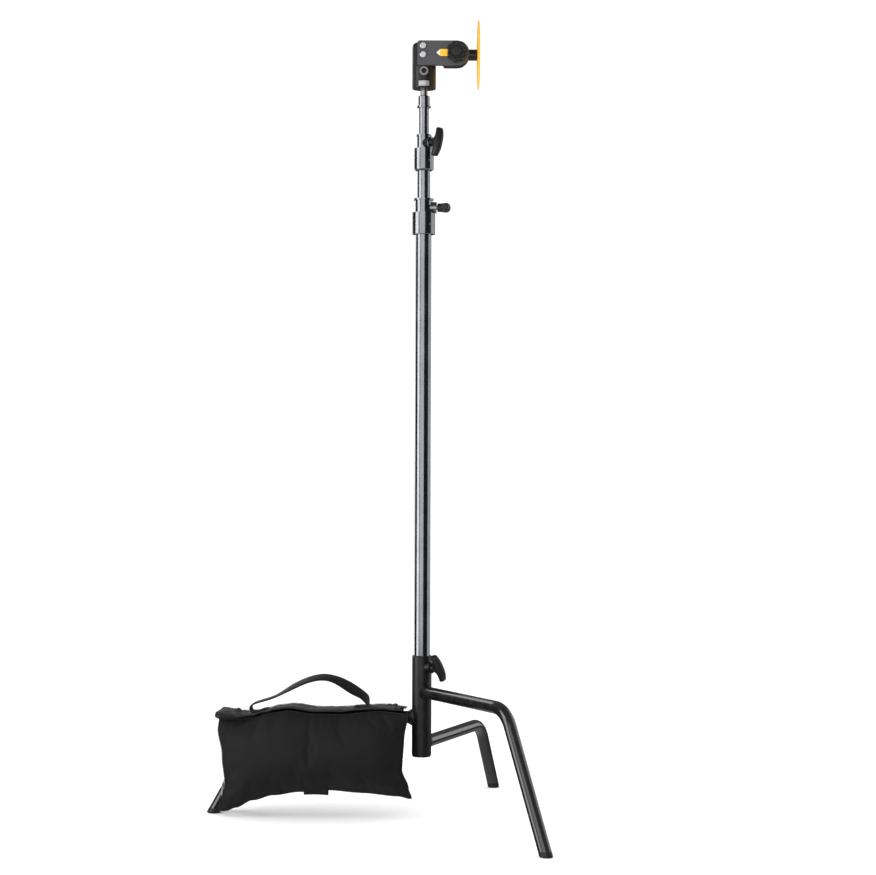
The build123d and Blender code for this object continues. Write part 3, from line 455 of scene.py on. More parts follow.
LEGS = ("high", "mid", "low")
RISERS = ("column", "riser_1")
CLAMPS = ("hub", "column", "riser_1")
FINISHES = (
    (CHROME, ("column_tube", "riser_1_tube", "riser_2_tube", "column_collar", "riser_1_collar",
              "riser_2_stop_collar", "riser_2_pin")),
    (ENAMEL, [leg + "_leg_tube" for leg in LEGS]),
    (POWDER, ("hub_top_sleeve", "mid_leg_sleeve", "low_leg_sleeve", "hub_bottom_ring", "tilt_stub")),
    (CAST, ("tilt_block", "head_lock_screw", *[clamp + "_t_handle" for clamp in CLAMPS])),
    (GREY, ("head_cheek",)),
    (DARK, ("head_housing",)),
    (RING, ("head_lock_ring",)),
    (BRIGHT, ("head_cheek_screws", "tilt_knob_washer", "tilt_disc_screw")),
    (ZINC, ("hub_tube", "column_spigot", "riser_2_cross_pin", "tilt_pivot_bolt",
            *[clamp + "_t_screw" for clamp in CLAMPS], *[riser + "_collar_screws" for riser in RISERS])),
    (BRASS, ("tilt_knob_insert", "head_bush", "head_clamp_plug",
             *[clamp + "_clamp_plug" for clamp in CLAMPS])),
    (NYLON_BLACK, ("column_bush", "riser_1_bush", "riser_1_piston", "riser_2_piston",
                   "tilt_friction_washer")),
    (WASHER, ("thrust_washers",)),
    (FOOT, [leg + "_leg_foot" for leg in LEGS]),
    (KNOB, ("tilt_knob",)),
    (YELLOW, ("tilt_disc",)),
    (POINTER, ("head_pointer",)),
    (PLATE, ("head_blank_plate",)),
    (CLOTH, ("bag_front_pouch", "bag_rear_pouch", "bag_saddle")),
    (WEBBING, ("bag_handle", "bag_pull_tab")),
)


def dress_frame():
    """Gives every node of the frame the material of the real piece."""
    for stuff, names in FINISHES:
        for name in names:
            nodes[name].data.materials.clear()
            nodes[name].data.materials.append(stuff)
    bare = set(nodes) - {name for _, names in FINISHES for name in names}
    assert not bare, bare


# ---------------------------------------------------------------- clamp handles

HANDLE_SIDES = 21 * MM

# A wing as (millimetres out, millimetres back, share of the width kept), and the neck
WING = ((9, -0.6, 0.93), (8, -1.8, 0.88), (4.5, -1.5, 0.95), (1, -0.3, 0.9))
NECK = ((3, 0.97), (5, 1.02), (1.5, 1.0))


def t_handle():
    """One cast T-handle: X out along its screw from the foot of the neck, its wings along Y,
    swept back a little towards the screw, thick in the middle and blunt at the tips."""
    clear()
    bpy.ops.mesh.primitive_cube_add(
        size=1, location=(21 * MM, 0, 0), scale=(21 * MM, 18 * MM, HANDLE_SIDES)
    )
    handle = start("t_handle")
    edit(handle)
    for side in (1, -1):
        choose(handle, "faces", lambda f: f.normal.y * side > 0.9)
        for out, back, share in WING:
            push((back * MM, side * out * MM, 0))
            bpy.ops.transform.resize(value=(share, 1, share))
    choose(handle, "faces", lambda f: f.normal.x < -0.9 and abs(f.calc_center_median().y) < 8 * MM)
    for out, share in NECK:
        push((-out * MM, 0, 0))
        bpy.ops.transform.resize(value=(1, share, share))
    bpy.ops.object.mode_set(mode="OBJECT")
    rounded(handle, 3)
    low = min(v.co.x for v in handle.data.vertices)
    for v in handle.data.vertices:
        v.co.x -= low
    outward(handle)
    return handle


def clamp_handles():
    """A T-handle on each clamp screw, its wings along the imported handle's own."""
    pattern = t_handle()
    for stem, body in (("hub", "hub_knob"), ("column", "column_knob"), ("riser_1", "riser_1_knob")):
        node = stem + "_t_handle"
        axis = Vector(joints[stem + "_knob_turn"]["axis"])
        foot = axis * span(node, axis)[0] + UP * middle(node).z
        away = [v.co - foot for v in nodes[node].data.vertices]
        away = [d - axis * d.dot(axis) for d in away]
        bar = max(away, key=lambda d: d.length).normalized()
        side = axis.cross(bar)
        turn = Matrix((axis, bar, side)).transposed().to_4x4()
        handle = copy_of(pattern, node + "_cast")
        place(handle, Matrix.Translation(foot) @ turn)
        fit_out(handle, CAST, body, "black_cast", node)
    bpy.data.objects.remove(pattern)


# ---------------------------------------------------------------- head knob and round plate

LOBES = 7
KNOB_STEPS = 16  # points round each lobe
FLUTE_FROM = 12.5 * MM  # how far out the hollows between the lobes begin
FLUTE_OVER = 5 * MM
FLUTE_DEEP = 0.15  # as a share of the radius

# The knob's turned shape as (millimetres outwards, share of the width kept): in front its
# rounded rim, dished face and raised cap, and behind its edge and bearing face
KNOB_RIM = ((0.7, 0.985), (0.5, 0.97), (0.4, 0.95))
KNOB_DISH = ((0, 0.93), (-0.7, 0.97), (-0.3, 0.96), (0, 0.72), (0.3, 0.98), (0.5, 0.97))
KNOB_CAP = ((0, 0.93), (2.2, 0.98), (0.35, 0.94), (0.15, 0.85))
KNOB_BACK = ((0.6, 0.98), (0.4, 0.95), (0, 0.7))


def grow(way, share):
    """Extrudes the selected face and scales it across the Y axis."""
    push(way)
    bpy.ops.transform.resize(value=(share, 1, share))


def lobed_knob():
    """The moulded clamping knob: seven finger lobes with a rounded rim, a dished front and a
    raised round cap in its middle."""
    low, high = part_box("tilt_knob")
    centre = (low + high) / 2
    radius = (high.x - low.x) / 2
    cap, rim, back = 3 * MM, 1.6 * MM, 1.0 * MM
    front_y = low.y + cap + rim
    deep = high.y - back - front_y
    clear()
    bpy.ops.mesh.primitive_cylinder_add(
        vertices=LOBES * KNOB_STEPS, radius=radius, depth=deep,
        location=(centre.x, front_y + deep / 2, centre.z), rotation=(math.pi / 2, 0, 0),
    )
    knob = start("tilt_knob_lobed")
    edit(knob)
    choose(knob, "faces", lambda f: f.normal.y < -0.9)
    for out, share in KNOB_RIM + KNOB_DISH + KNOB_CAP:
        grow((0, -out * MM, 0), share)
    choose(knob, "faces", lambda f: f.normal.y > 0.9)
    for out, share in KNOB_BACK:
        grow((0, out * MM, 0), share)
    bpy.ops.object.mode_set(mode="OBJECT")
    for v in knob.data.vertices:
        arm = Vector((v.co.x - centre.x, 0, v.co.z - centre.z))
        flute = (0.5 - 0.5 * math.cos(math.atan2(arm.z, arm.x) * LOBES)) ** 2
        arm *= 1 - FLUTE_DEEP * flute * ease((arm.length - FLUTE_FROM) / FLUTE_OVER)
        v.co.x, v.co.z = centre.x + arm.x, centre.z + arm.z
    outward(knob)
    hold(knob)
    bpy.ops.object.shade_smooth_by_angle(angle=math.radians(35))
    fit_out(knob, KNOB, "tilt_knob", "knob_plastic", "tilt_knob")


def round_plate():
    """The head's round plate: thicker over its middle, thinning in a shallow cone to a rounded
    rim, with a counterbore for the screw that holds it and a shallow ring round that."""
    low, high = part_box("tilt_disc")
    screw_low, screw_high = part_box("tilt_disc_screw")
    centre = (low + high) / 2
    radius = (high.z - low.z) / 2
    thick, rim = high.x - low.x, 2.2 * MM
    head = (screw_high.z - screw_low.z) / 2 + 0.3 * MM
    clear()
    bpy.ops.mesh.primitive_cylinder_add(
        vertices=144, radius=radius, depth=rim, location=centre, rotation=(0, math.pi / 2, 0)
    )
    plate = start("tilt_disc_plate")
    edit(plate)
    cone = (thick - rim) / 2
    for side in (1, -1):
        choose(plate, "faces", lambda f: f.normal.x * side > 0.9)
        reach = radius
        edge = [(0.5 * MM, radius - 0.5 * MM), (0.25 * MM, radius - 1.4 * MM)]
        steps = edge + [(cone - 0.75 * MM, radius * 0.72), (0, radius * 0.7), (-0.25 * MM, radius * 0.69),
                        (0, radius * 0.3), (0.25 * MM, radius * 0.29)]
        if side > 0:
            steps += [(0, head + 0.5 * MM), (-0.5 * MM, head), (-3.7 * MM, head)]
        for out, goal in steps:
            push((side * out, 0, 0))
            bpy.ops.transform.resize(value=(1, goal / reach, goal / reach))
            reach = goal
    bpy.ops.object.mode_set(mode="OBJECT")
    outward(plate)
    hold(plate)
    bpy.ops.object.shade_smooth_by_angle(angle=math.radians(30))
    fit_out(plate, YELLOW, "tilt", "yellow_disc", "tilt_disc")


# ---------------------------------------------------------------- hub

LEG_R = 13.5 * MM


def weld_bead(name, body, leg, sleeve_r, neck_r):
    """The rippled weld where a leg's neck meets its sleeve, along the line where the two
    round shapes cross."""
    bearing = bearing_of(leg + "_leg_foot")
    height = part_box(leg + "_leg_tube")[1].z - LEG_R
    steps = 72
    clear()
    bpy.ops.mesh.primitive_torus_add(
        major_segments=steps, minor_segments=10, major_radius=neck_r, minor_radius=1.7 * MM,
        rotation=(0, math.pi / 2, 0),
    )
    bead = start(name)
    edit(bead)

    def ripple(v):
        return round(math.atan2(v.co.z, v.co.y) / math.tau * steps) % 3 == 0

    choose(bead, "verts", ripple)
    bpy.ops.transform.shrink_fatten(value=0.35 * MM)
    bpy.ops.object.mode_set(mode="OBJECT")
    for v in bead.data.vertices:
        ring = Vector((0, v.co.y, v.co.z)).normalized() * neck_r
        v.co.x += math.sqrt(sleeve_r ** 2 - min(ring.y ** 2, (sleeve_r * 0.98) ** 2)) - 0.4 * MM
    rounded(bead, 1)
    turn = Matrix.Rotation(bearing, 4, "Z")
    place(bead, Matrix.Translation(UP * height) @ turn)
    outward(bead)
    fit_out(bead, POWDER, body, "black_cast")


def weld_beads():
    """A weld bead at the neck of each leg."""
    low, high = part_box("hub_bottom_ring")
    sleeve_r = (high.x - low.x) / 2
    for leg, body in (("high", "base"), ("low", "low_leg"), ("mid", "mid_leg")):
        weld_bead(leg + "_leg_weld", body, leg, sleeve_r, LEG_R + 2.4 * MM)


# ---------------------------------------------------------------- sandbag

BAG_BEARING = bearing_of("mid_leg_foot")
ALONG = Vector((math.cos(BAG_BEARING), math.sin(BAG_BEARING), 0))
FRONT = Vector((-math.sin(BAG_BEARING), math.cos(BAG_BEARING), 0))
BAG_TURN = Matrix.Rotation(BAG_BEARING, 4, "Z")
BAG_IN, BAG_OUT = span("bag_front_pouch", ALONG)
POUCH_BACK, POUCH_FRONT = span("bag_front_pouch", FRONT)
BAG_LONG = BAG_OUT - BAG_IN
SEAM_V = (POUCH_BACK + POUCH_FRONT) / 2
LEG_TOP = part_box("mid_leg_tube")[1].z

# A pouch's edges as (share of the way, millimetres): heights of its bottom and top from the
# end near the column outwards, and how far each end pulls in from the bottom up
BOTTOM = ((0, 50), (0.07, 55.5), (0.25, 61), (0.43, 65.5), (0.58, 60.5), (0.72, 52), (0.83, 40),
          (0.92, 23), (0.97, 15), (1, 14))
TOP = ((0, 231), (0.155, 235), (0.36, 227), (0.5, 227), (0.63, 233), (0.72, 228), (0.82, 216),
       (0.9, 212), (1, 215))
INNER_END = ((0, -11), (0.12, -4), (0.34, 10.5), (0.7, 7), (1, 0))
OUTER_END = ((0, -3), (0.12, -5), (0.28, -14), (0.6, -7), (0.9, 5), (1, 3))
PANEL_LONG = 76
PANEL_DEEP = 38
SEAM_R = 1.5 * MM


def pouch_edge(a, b, side):
    """A point on a pouch's seam plane: a from the column outwards, b from the bottom up. The
    seam leans towards the leg at the top."""
    low, top = follow(BOTTOM, a) * MM, follow(TOP, a) * MM
    inner = BAG_IN + (12 - 11 * side) * MM + follow(INNER_END, b) * MM
    outer = BAG_OUT + follow(OUTER_END, b) * MM
    lean = 5 * MM * (1 - b) - 12 * MM * ease((b - 0.55) / 0.45)
    return Vector((inner + (outer - inner) * a, side * (SEAM_V + lean), low + (top - low) * b))


def fill(bag, pins):
    """Blows the sewn pouch up with its seam held, so the cloth swells and puckers."""
    hold(bag)
    modifier = bag.modifiers.new("Cloth", "CLOTH")
    cloth = modifier.settings
    cloth.quality = 6
    cloth.mass = 0.25
    cloth.tension_stiffness = 15
    cloth.compression_stiffness = 15
    cloth.shear_stiffness = 4
    cloth.bending_stiffness = 0.3
    cloth.shrink_min = -0.015
    cloth.vertex_group_mass = pins.name
    cloth.use_pressure = True
    cloth.uniform_pressure_force = 6
    cloth.effector_weights.gravity = 0
    modifier.point_cache.frame_start = 1
    modifier.point_cache.frame_end = 20
    for frame_number in range(1, 21):
        bpy.context.scene.frame_set(frame_number)
    bpy.ops.object.modifier_apply(modifier=modifier.name)
    bpy.context.scene.frame_set(1)


def pouch(name, side):
    """One filled pouch: two panels sewn together round their edge."""
    clear()
    bpy.ops.mesh.primitive_grid_add(x_subdivisions=PANEL_LONG, y_subdivisions=PANEL_DEEP, size=2)
    bag = start(name)
    edit(bag)
    bpy.ops.mesh.select_all(action="SELECT")
    bpy.ops.mesh.duplicate_move(TRANSFORM_OT_translate={"value": (0, 0, 1)})
    bpy.ops.object.mode_set(mode="OBJECT")
    pins = bag.vertex_groups.new(name="seam")
    for v in bag.data.vertices:
        panel = 1 if v.co.z > 0.5 else -1
        a, b = (v.co.x + 1) / 2, (v.co.y + 1) / 2
        swell = (1 - (2 * a - 1) ** 6) * (1 - (2 * b - 1) ** 4)
        v.co = pouch_edge(a, b, side)
        v.co.y += side * panel * 24 * MM * swell * (1.2 - 0.35 * b)
        v.co.z -= 2 * MM * swell
        if swell < 1e-6:
            pins.add([v.index], 1, "REPLACE")
    for loop in bag.data.uv_layers.active.data:
        loop.uv = (loop.uv.x * BAG_LONG, loop.uv.y * 180 * MM)
    outward(bag)
    fill(bag, pins)
    leg_z = LEG_TOP - LEG_R
    for v in bag.data.vertices:
        out = v.co.y * side
        beside_leg = 1 - ease((abs(v.co.z - leg_z) - 16 * MM) / (14 * MM))
        near = POUCH_BACK * beside_leg + 5 * MM * (1 - beside_leg)
        v.co.y = side * min(max(out, near), POUCH_FRONT + 5 * MM)
    edit(bag)
    bpy.ops.mesh.select_all(action="DESELECT")
    bpy.ops.object.vertex_group_select()
    bpy.ops.transform.edge_crease(value=1)
    bpy.ops.object.mode_set(mode="OBJECT")
    bag.vertex_groups.clear()
    rounded(bag, 1)
    return bag


def tube_along(name, points, radius):
    """A closed or open cord of cloth along points, as a mesh."""
    line = bpy.data.curves.new(name, "CURVE")
    line.dimensions = "3D"
    line.bevel_depth = radius
    line.bevel_resolution = 2
    line.use_fill_caps = True
    spline = line.splines.new("POLY")
    spline.points.add(len(points) - 1)
    for spot, point in zip(spline.points, points):
        spot.co = (*point, 1)
    spline.use_cyclic_u = (points[0] - points[-1]).length < 8 * MM
    tube = bpy.data.objects.new(name, line)
    bpy.context.scene.collection.objects.link(tube)
    hold(tube)
    bpy.ops.object.convert(target="MESH")
    bpy.ops.object.shade_smooth()
    return bpy.context.object


def seam_ring(side):
    """Points round a pouch's seam, starting at the bottom near the column."""
    across = [i / PANEL_LONG for i in range(PANEL_LONG)]
    up = [i / PANEL_DEEP for i in range(PANEL_DEEP)]
    ring = [(a, 0) for a in across] + [(1, b) for b in up]
    ring += [(1 - a, 1) for a in across] + [(0, 1 - b) for b in up]
    return [pouch_edge(a, b, side) for a, b in ring]


def smooth_line(points, steps):
    """Even points along a smooth line through a few given ones."""
    ends = [points[0] * 2 - points[1], *points, points[-1] * 2 - points[-2]]
    fine = []
    for p0, p1, p2, p3 in zip(ends, ends[1:], ends[2:], ends[3:]):
        for i in range(24):
            t = i / 24
            fine.append(0.5 * (2 * p1 + (p2 - p0) * t + (2 * p0 - 5 * p1 + 4 * p2 - p3) * t ** 2
                               + (3 * p1 - p0 - 3 * p2 + p3) * t ** 3))
    fine.append(points[-1])
    walked = [0.0]
    for before, after in zip(fine, fine[1:]):
        walked.append(walked[-1] + (after - before).length)
    even, spot = [], 0
    for i in range(steps + 1):
        goal = walked[-1] * i / steps
        while spot < len(walked) - 2 and walked[spot + 1] < goal:
            spot += 1
        share = (goal - walked[spot]) / max(1e-9, walked[spot + 1] - walked[spot])
        even.append(fine[spot].lerp(fine[spot + 1], min(1, share)))
    return even, walked[-1]


def ribbon(name, route, half_wide, thick, twist, steps=110, lanes=6, broad=Vector((0, 1, 0))):
    """A strap along a route: flat across, turned by twist(share) about its own line, with its
    cloth's weave laid out in metres."""
    line, length = smooth_line(route, steps)
    clear()
    bpy.ops.mesh.primitive_grid_add(x_subdivisions=steps, y_subdivisions=lanes, size=2)
    strap = start(name)
    for v in strap.data.vertices:
        share = (v.co.x + 1) / 2
        spot = round(share * steps)
        ahead = line[min(spot + 1, steps)] - line[max(spot - 1, 0)]
        rise = ahead.normalized().cross(broad).normalized()
        turn = twist(share)
        out = broad * math.cos(turn) + rise * math.sin(turn)
        bow = rise * math.cos(turn) - broad * math.sin(turn)
        v.co = line[spot] + out * v.co.y * half_wide + bow * 1.2 * MM * (v.co.y ** 2)
    for loop in strap.data.uv_layers.active.data:
        loop.uv = (loop.uv.x * length, loop.uv.y * 2 * half_wide)
    outward(strap)
    work(strap, "SOLIDIFY", thickness=thick, offset=0, use_even_offset=True)
    work(strap, "BEVEL", width=thick * 0.3, segments=2, limit_method="ANGLE")
    hold(strap)
    bpy.ops.object.shade_smooth_by_angle(angle=math.radians(50))
    return strap


SADDLE_IN, SADDLE_OUT = span("bag_saddle", ALONG)
CREST = ((0, 238), (0.15, 241.5), (0.24, 238.5), (0.35, 234), (0.48, 233.5), (0.61, 240), (0.68, 236.5),
         (0.75, 229.5), (0.8, 223), (0.88, 221), (1, 228))
CLOTH_T = 1.4 * MM
SHOULDER_R = 15 * MM
SHOULDER_TURN = math.radians(62)


def on_saddle(a, along):
    """The saddle cloth's point: a from the column outwards, along the cloth from its middle
    line. It lies over the leg and rounds the pouches' shoulders."""
    u = SADDLE_IN + (SADDLE_OUT - SADDLE_IN - 4 * MM) * a
    flat = (36 + 13 * ease((a - 0.8) / 0.14)) * MM
    past = max(0, abs(along) - flat)
    bend = min(past / SHOULDER_R, SHOULDER_TURN)
    straight = max(0, past - bend * SHOULDER_R)
    v = min(abs(along), flat) + SHOULDER_R * math.sin(bend) + straight * math.cos(bend)
    drop = SHOULDER_R * (1 - math.cos(bend)) + straight * math.sin(bend)
    crest = follow(CREST, a) * MM
    on_leg = (LEG_TOP + 1.2 * MM - crest) * (1 - ease(abs(along) / (30 * MM))) * (a < 0.72)
    wrinkle = 0.9 * MM * noise(Vector((u * 38, along * 22, 3)))
    return Vector((u, math.copysign(v, along), crest + max(0, on_leg) - drop + wrinkle))


def saddle_point(a, across):
    """As on_saddle, with across from -1 to 1: the cut is wider at its free outer end."""
    return on_saddle(a, across * (42 + 28 * ease((a - 0.78) / 0.2)) * MM)


def saddle(pouches):
    """The top cloth that joins the pouches: one cut sheet lying over the leg, its long edges
    turned down over the pouches' shoulders."""
    long, wide = 120, 40
    clear()
    bpy.ops.mesh.primitive_grid_add(x_subdivisions=long, y_subdivisions=wide, size=2)
    cloth = start("bag_saddle_cloth")
    for v in cloth.data.vertices:
        v.co = saddle_point((v.co.x + 1) / 2, v.co.y)
    for loop in cloth.data.uv_layers.active.data:
        loop.uv = (loop.uv.x * (SADDLE_OUT - SADDLE_IN), loop.uv.y * 110 * MM)
    for pouch_below in pouches:
        skin = BVHTree.FromObject(pouch_below, bpy.context.evaluated_depsgraph_get())
        for v in cloth.data.vertices:
            spot, normal, _, _ = skin.find_nearest(v.co)
            clear_by = (v.co - spot).dot(normal)
            if clear_by < CLOTH_T and (v.co - spot).length < 30 * MM:
                v.co += normal * (CLOTH_T - clear_by)
    work(cloth, "SMOOTH", factor=0.5, iterations=5)
    edit(cloth)
    bpy.ops.mesh.select_all(action="SELECT")
    mesh = bmesh.from_edit_mesh(cloth.data)
    if sum(f.normal.z for f in mesh.faces) < 0:
        bpy.ops.mesh.flip_normals()
    bpy.ops.object.mode_set(mode="OBJECT")
    work(cloth, "SOLIDIFY", thickness=CLOTH_T, offset=1)
    hold(cloth)
    bpy.ops.object.shade_smooth()
    return cloth


def row_of(name, one, rows, pitch):
    """Copies of one small piece laid end to end along rows of (points, which way is up)."""
    parts = []
    for points, up in rows:
        total = sum((b - a).length for a, b in zip(points, points[1:]))
        even, _ = smooth_line(points, max(1, round(total / pitch)))
        for here, there in zip(even, even[1:]):
            way = (there - here).normalized()
            side = up.cross(way).normalized()
            turn = Matrix((way, side, way.cross(side))).transposed().to_4x4()
            copy = copy_of(one, name + "_copy")
            copy.data.transform(Matrix.Translation((here + there) / 2) @ turn)
            parts.append(copy)
    bpy.data.objects.remove(one)
    return joined(name, parts)


def stitch():
    """One short thread stitch with rounded ends."""
    clear()
    bpy.ops.mesh.primitive_cube_add(size=1, scale=(3.3 * MM, 0.9 * MM, 0.9 * MM))
    one = start("stitch")
    work(one, "BEVEL", width=0.3 * MM, segments=1)
    return one


def zip_tooth():
    """One zip tooth: a small bar across the tape with its edges broken."""
    clear()
    bpy.ops.mesh.primitive_cube_add(size=1, scale=(1.5 * MM, 4.2 * MM, 1.8 * MM))
    one = start("zip_tooth")
    work(one, "BEVEL", width=0.35 * MM, segments=1)
    return one


def zip_line(side):
    """The line of the zip down the outer end of a pouch."""
    out = Vector((SEAM_R + 0.6 * MM, 0, 0))
    return [pouch_edge(1, b, side) + out for b in (0.08, 0.14, 0.2, 0.3, 0.42, 0.55, 0.7, 0.82, 0.9)]


def zip_slider(side):
    """The slider and its hanging pull on a pouch's zip."""
    spot = pouch_edge(1, 0.3, side) + Vector((SEAM_R + 1.2 * MM, 0, 0))
    clear()
    bpy.ops.mesh.primitive_cube_add(size=1, location=spot, scale=(5 * MM, 8 * MM, 9 * MM))
    body = start("slider")
    edit(body)
    choose(body, "faces", lambda f: f.normal.z > 0.9)
    push((0, 0, 2 * MM))
    bpy.ops.transform.resize(value=(0.8, 0.6, 1))
    choose(body, "faces", lambda f: f.normal.x > 0.9 and f.calc_area() > 30 * MM * MM)
    bpy.ops.mesh.inset(thickness=2 * MM)
    push((1.6 * MM, 0, 0))
    bpy.ops.object.mode_set(mode="OBJECT")
    work(body, "BEVEL", width=0.7 * MM, segments=2)
    clear()
    bpy.ops.mesh.primitive_cube_add(
        size=1, location=spot + Vector((4.4 * MM, 0, -10 * MM)), scale=(1.4 * MM, 5 * MM, 20 * MM)
    )
    pull = start("pull")
    edit(pull)
    choose(pull, "faces", lambda f: f.normal.z < -0.9)
    push((0, 0, -3 * MM))
    bpy.ops.transform.resize(value=(1, 1.5, 1))
    push((0, 0, -6 * MM))
    bpy.ops.object.mode_set(mode="OBJECT")
    work(pull, "BEVEL", width=0.5 * MM, segments=2)
    for part in (body, pull):
        hold(part)
        bpy.ops.object.shade_smooth_by_angle(angle=math.radians(40))
    return joined("slider_pair", [body, pull])


def patch(u_from, u_to):
    """Where the handle's end is sewn down: a flat square of webbing on the saddle."""
    long, wide = 16, 12
    half = 16.5 * MM
    clear()
    bpy.ops.mesh.primitive_grid_add(x_subdivisions=long, y_subdivisions=wide, size=2)
    flat = start("patch")
    for v in flat.data.vertices:
        v.co = patch_point((v.co.x + 1) / 2, v.co.y * half, u_from, u_to, 2.6 * MM)
    for loop in flat.data.uv_layers.active.data:
        loop.uv = (loop.uv.x * abs(u_to - u_from), loop.uv.y * 2 * half)
    outward(flat)
    work(flat, "SOLIDIFY", thickness=2.2 * MM, offset=0)
    work(flat, "BEVEL", width=0.6 * MM, segments=2, limit_method="ANGLE")
    hold(flat)
    bpy.ops.object.shade_smooth_by_angle(angle=math.radians(50))
    return flat


def patch_point(share, along, u_from, u_to, over):
    """A point over the saddle, a share of the way from one end of a patch to the other."""
    u = u_from + (u_to - u_from) * share
    a = (u - SADDLE_IN) / (SADDLE_OUT - SADDLE_IN - 4 * MM)
    return on_saddle(a, along) + UP * (CLOTH_T + over)


def box_stitch(u_from, u_to):
    """The rows of a patch's box stitch: round its edge and corner to corner."""
    across = 12.5 * MM
    corners = [(0.12, -across), (0.88, -across), (0.88, across), (0.12, across)]
    ends = list(zip(corners, corners[1:] + corners[:1]))
    ends += [(corners[0], corners[2]), (corners[1], corners[3])]
    rows = []
    for (s0, v0), (s1, v1) in ends:
        line = [patch_point(s0 + (s1 - s0) * i / 8, v0 + (v1 - v0) * i / 8, u_from, u_to, 3.7 * MM)
                for i in range(9)]
        rows.append((line, UP))
    return rows


STITCH_PITCH = 4.8 * MM
TOOTH_PITCH = 2.9 * MM
HEM_ROWS = (0.93, 0.83, -0.83, -0.93)  # where the hem's stitches run, as shares across
HANDLE_FEET = ((342 * MM, 374 * MM), (114 * MM, 148 * MM))
GRIP_HALF = 15 * MM
GRIP_T = 3.0 * MM
TAB_AT = 0.43  # as a share along the pouch's bottom
TAB_HALF = 27 * MM
TAB_T = 1.8 * MM

# The handle's line as millimetres along the leg and up, from its outer foot inwards
GRIP_ROUTE = ((371, 214), (373, 222), (379, 229), (381, 236.5), (373, 244.5), (357, 250.5),
              (326, 261), (284, 284), (250, 299), (217, 305), (186, 298), (149, 277.5), (128, 265),
              (120, 254), (117, 244), (117, 230))


def grip_twist(share):
    """The strap leans to the front along its arch, most near the column, and not at its feet."""
    lean = follow(((0, 0), (0.22, 4), (0.42, 18), (0.62, 20), (0.8, 36), (0.9, 24), (0.96, 0)), share)
    return math.radians(lean)


def settle(piece, stuff, slot, *stands_for):
    """Turns a piece of the bag from the bag's own axes to its bearing and fits it out."""
    place(piece, BAG_TURN)
    fit_out(piece, stuff, "sandbag", slot, *stands_for)


def seam_rows():
    """Every row of stitches on the saddle: its hems and the handle's sewn feet."""
    rows = []
    for across in HEM_ROWS:
        rows.append(([saddle_point(i / 60, across) + UP * CLOTH_T * 1.9 for i in range(1, 60)], UP))
    for foot in HANDLE_FEET:
        rows += box_stitch(*foot)
    return rows


def pull_tab():
    """The folded tab of webbing that hangs from the front pouch's bottom seam."""
    low = follow(BOTTOM, TAB_AT) * MM
    across = abs(pouch_edge(TAB_AT, 0, 1).y)
    fold = ((-2.2, 9), (-2.2, -7), (0, -10.5), (2.2, -7), (2.2, 9))
    route = [Vector((BAG_IN + 199 * MM, across + v * MM, low + z * MM)) for v, z in fold]
    return ribbon("bag_pull_tab_loop", route, TAB_HALF, TAB_T, lambda share: 0, steps=24,
                  broad=Vector((1, 0, 0)))


def sandbag():
    """The saddle bag: two filled pouches, the cloth over the leg, handle, tab, seams, zips."""
    front = pouch("bag_front_pouch_filled", 1)
    rear = pouch("bag_rear_pouch_filled", -1)
    cloth = saddle((front, rear))
    seams = [tube_along("bag_seam", seam_ring(side), SEAM_R) for side in (1, -1)]
    patches = [patch(*foot) for foot in HANDLE_FEET]
    thread = row_of("bag_stitching", stitch(), seam_rows(), STITCH_PITCH)
    zips = [(zip_line(side), Vector((1, 0, 0))) for side in (1, -1)]
    teeth = row_of("bag_zip_teeth", zip_tooth(), zips, TOOTH_PITCH)
    sliders = [zip_slider(side) for side in (1, -1)]
    route = [Vector((u * MM, 0, z * MM)) for u, z in GRIP_ROUTE]
    grip = ribbon("bag_handle_strap", route, GRIP_HALF, GRIP_T, grip_twist)
    tab = pull_tab()
    settle(front, CLOTH, "bag_nylon", "bag_front_pouch")
    settle(rear, CLOTH, "bag_nylon", "bag_rear_pouch")
    settle(cloth, CLOTH, "bag_nylon", "bag_saddle")
    settle(joined("bag_seam_piping", seams), BINDING, "bag_webbing")
    settle(grip, WEBBING, "bag_webbing", "bag_handle")
    settle(joined("bag_handle_patches", patches), WEBBING, "bag_webbing")
    settle(thread, THREAD, "bag_webbing")
    settle(teeth, NYLON_BLACK, "nylon_black")
    settle(joined("bag_zip_sliders", sliders), ZINC, "zinc_steel")
    settle(tab, WEBBING, "bag_webbing", "bag_pull_tab")


# ---------------------------------------------------------------- studio


# Each softbox: bearing in degrees, metres away, height, width, how tall, watts
SOFTBOXES = {
    "left_box": (-67, 2.2, 1.2, 1.35, 2.4, 30),
    "front_panel": (-13, 3.0, 1.2, 3.2, 2.4, 34),
    "right_box": (112, 2.2, 1.2, 2.6, 2.4, 19),
    "back_box": (215, 2.6, 1.2, 1.4, 2.4, 18),
}
CAMERA_AT = (0.0336, -4.5222, 0.8336)
CAMERA_ROLL = math.radians(-0.22)
LENS = 84.7


def softbox(name, bearing, away, height, wide, tall, power):
    """A soft area light that faces the stand and isn't seen itself."""
    place_at = Vector((away * math.sin(bearing), -away * math.cos(bearing), height))
    clear()
    bpy.ops.object.light_add(type="AREA", location=place_at)
    lamp = bpy.context.object
    lamp.name = name
    lamp.data.shape = "RECTANGLE"
    lamp.data.size = wide
    lamp.data.size_y = tall
    lamp.data.energy = power
    lamp.visible_camera = False
    lamp.rotation_euler = (Vector((0, 0, height)) - place_at).to_track_quat("-Z", "Y").to_euler()


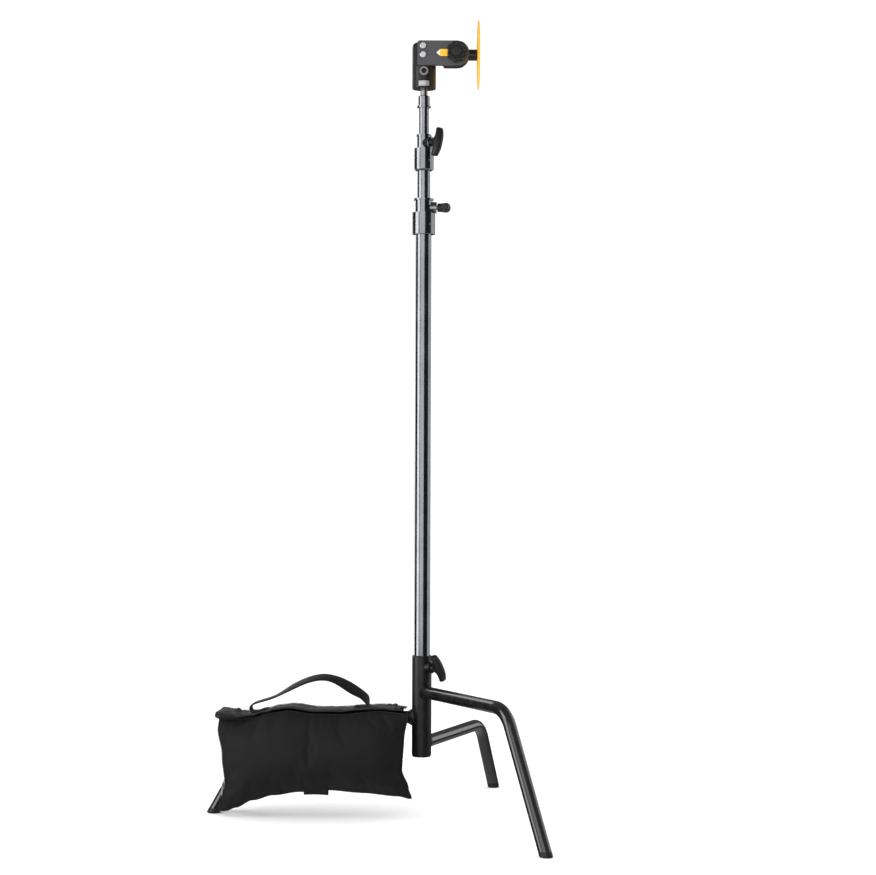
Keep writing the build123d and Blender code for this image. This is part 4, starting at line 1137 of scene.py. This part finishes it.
def studio():
    """A pale floor, even light from all round, and softboxes that draw the metal's stripes."""
    clear()
    bpy.ops.mesh.primitive_plane_add(size=400)
    floor = start("studio_floor")
    stuff, tree, shader = surface("matt_white_paper", roughness=0.9)
    where = add(tree, "TexCoord").outputs["Object"]
    fibre = add(tree, "TexNoise", {"Vector": where, "Scale": 1 / (60 * MM), "Detail": 3})
    tone = ramp_of(tree, fibre.outputs["Fac"], (0.3, paint("#FBFBFB")), (0.7, paint("#FDFDFD")))
    wire(tree, shader, base_color=tone)
    floor.data.materials.append(stuff)
    floor.visible_glossy = False
    world = bpy.context.scene.world or bpy.data.worlds.new("studio")
    bpy.context.scene.world = world
    world.use_nodes = True
    tree = world.node_tree
    tree.nodes.clear()
    rays = add(tree, "LightPath")
    even = add(tree, "Background", {"Color": (1, 1, 1, 1), "Strength": 1.12})
    way = add(tree, "SeparateXYZ", {0: add(tree, "TexCoord").outputs["Generated"]}).outputs["Z"]
    height = add(tree, "MapRange", {"Value": way, "From Min": -1, "From Max": 1, "To Min": 0, "To Max": 1})
    greys = ((0.0, 0.5), (0.3, 0.22), (0.42, 0.02), (0.56, 0.03), (0.8, 0.16))
    glow = ramp_of(tree, height.outputs[0], *[(at, (g, g, g, 1)) for at, g in greys])
    dim = add(tree, "Background", {"Color": glow, "Strength": 1})
    mix = add(tree, "MixShader", {0: rays.outputs["Is Glossy Ray"], 1: even.outputs[0], 2: dim.outputs[0]})
    add(tree, "OutputWorld", {"Surface": mix.outputs[0]})
    for name, (bearing, *rest) in SOFTBOXES.items():
        softbox(name, math.radians(bearing), *rest)
    bpy.context.scene.view_settings.view_transform = "Standard"


def camera():
    """Level with the middle of the column, square to the bag's side."""
    clear()
    bpy.ops.object.camera_add(
        location=CAMERA_AT, rotation=(math.radians(90), CAMERA_ROLL, 0)
    )
    eye = bpy.context.object
    eye.name = "studio_camera"
    eye.data.sensor_width = 36
    eye.data.lens = LENS
    eye.data.clip_end = 1000
    bpy.context.scene.camera = eye


dress_frame()
clamp_handles()
lobed_knob()
round_plate()
weld_beads()
sandbag()
studio()
camera()
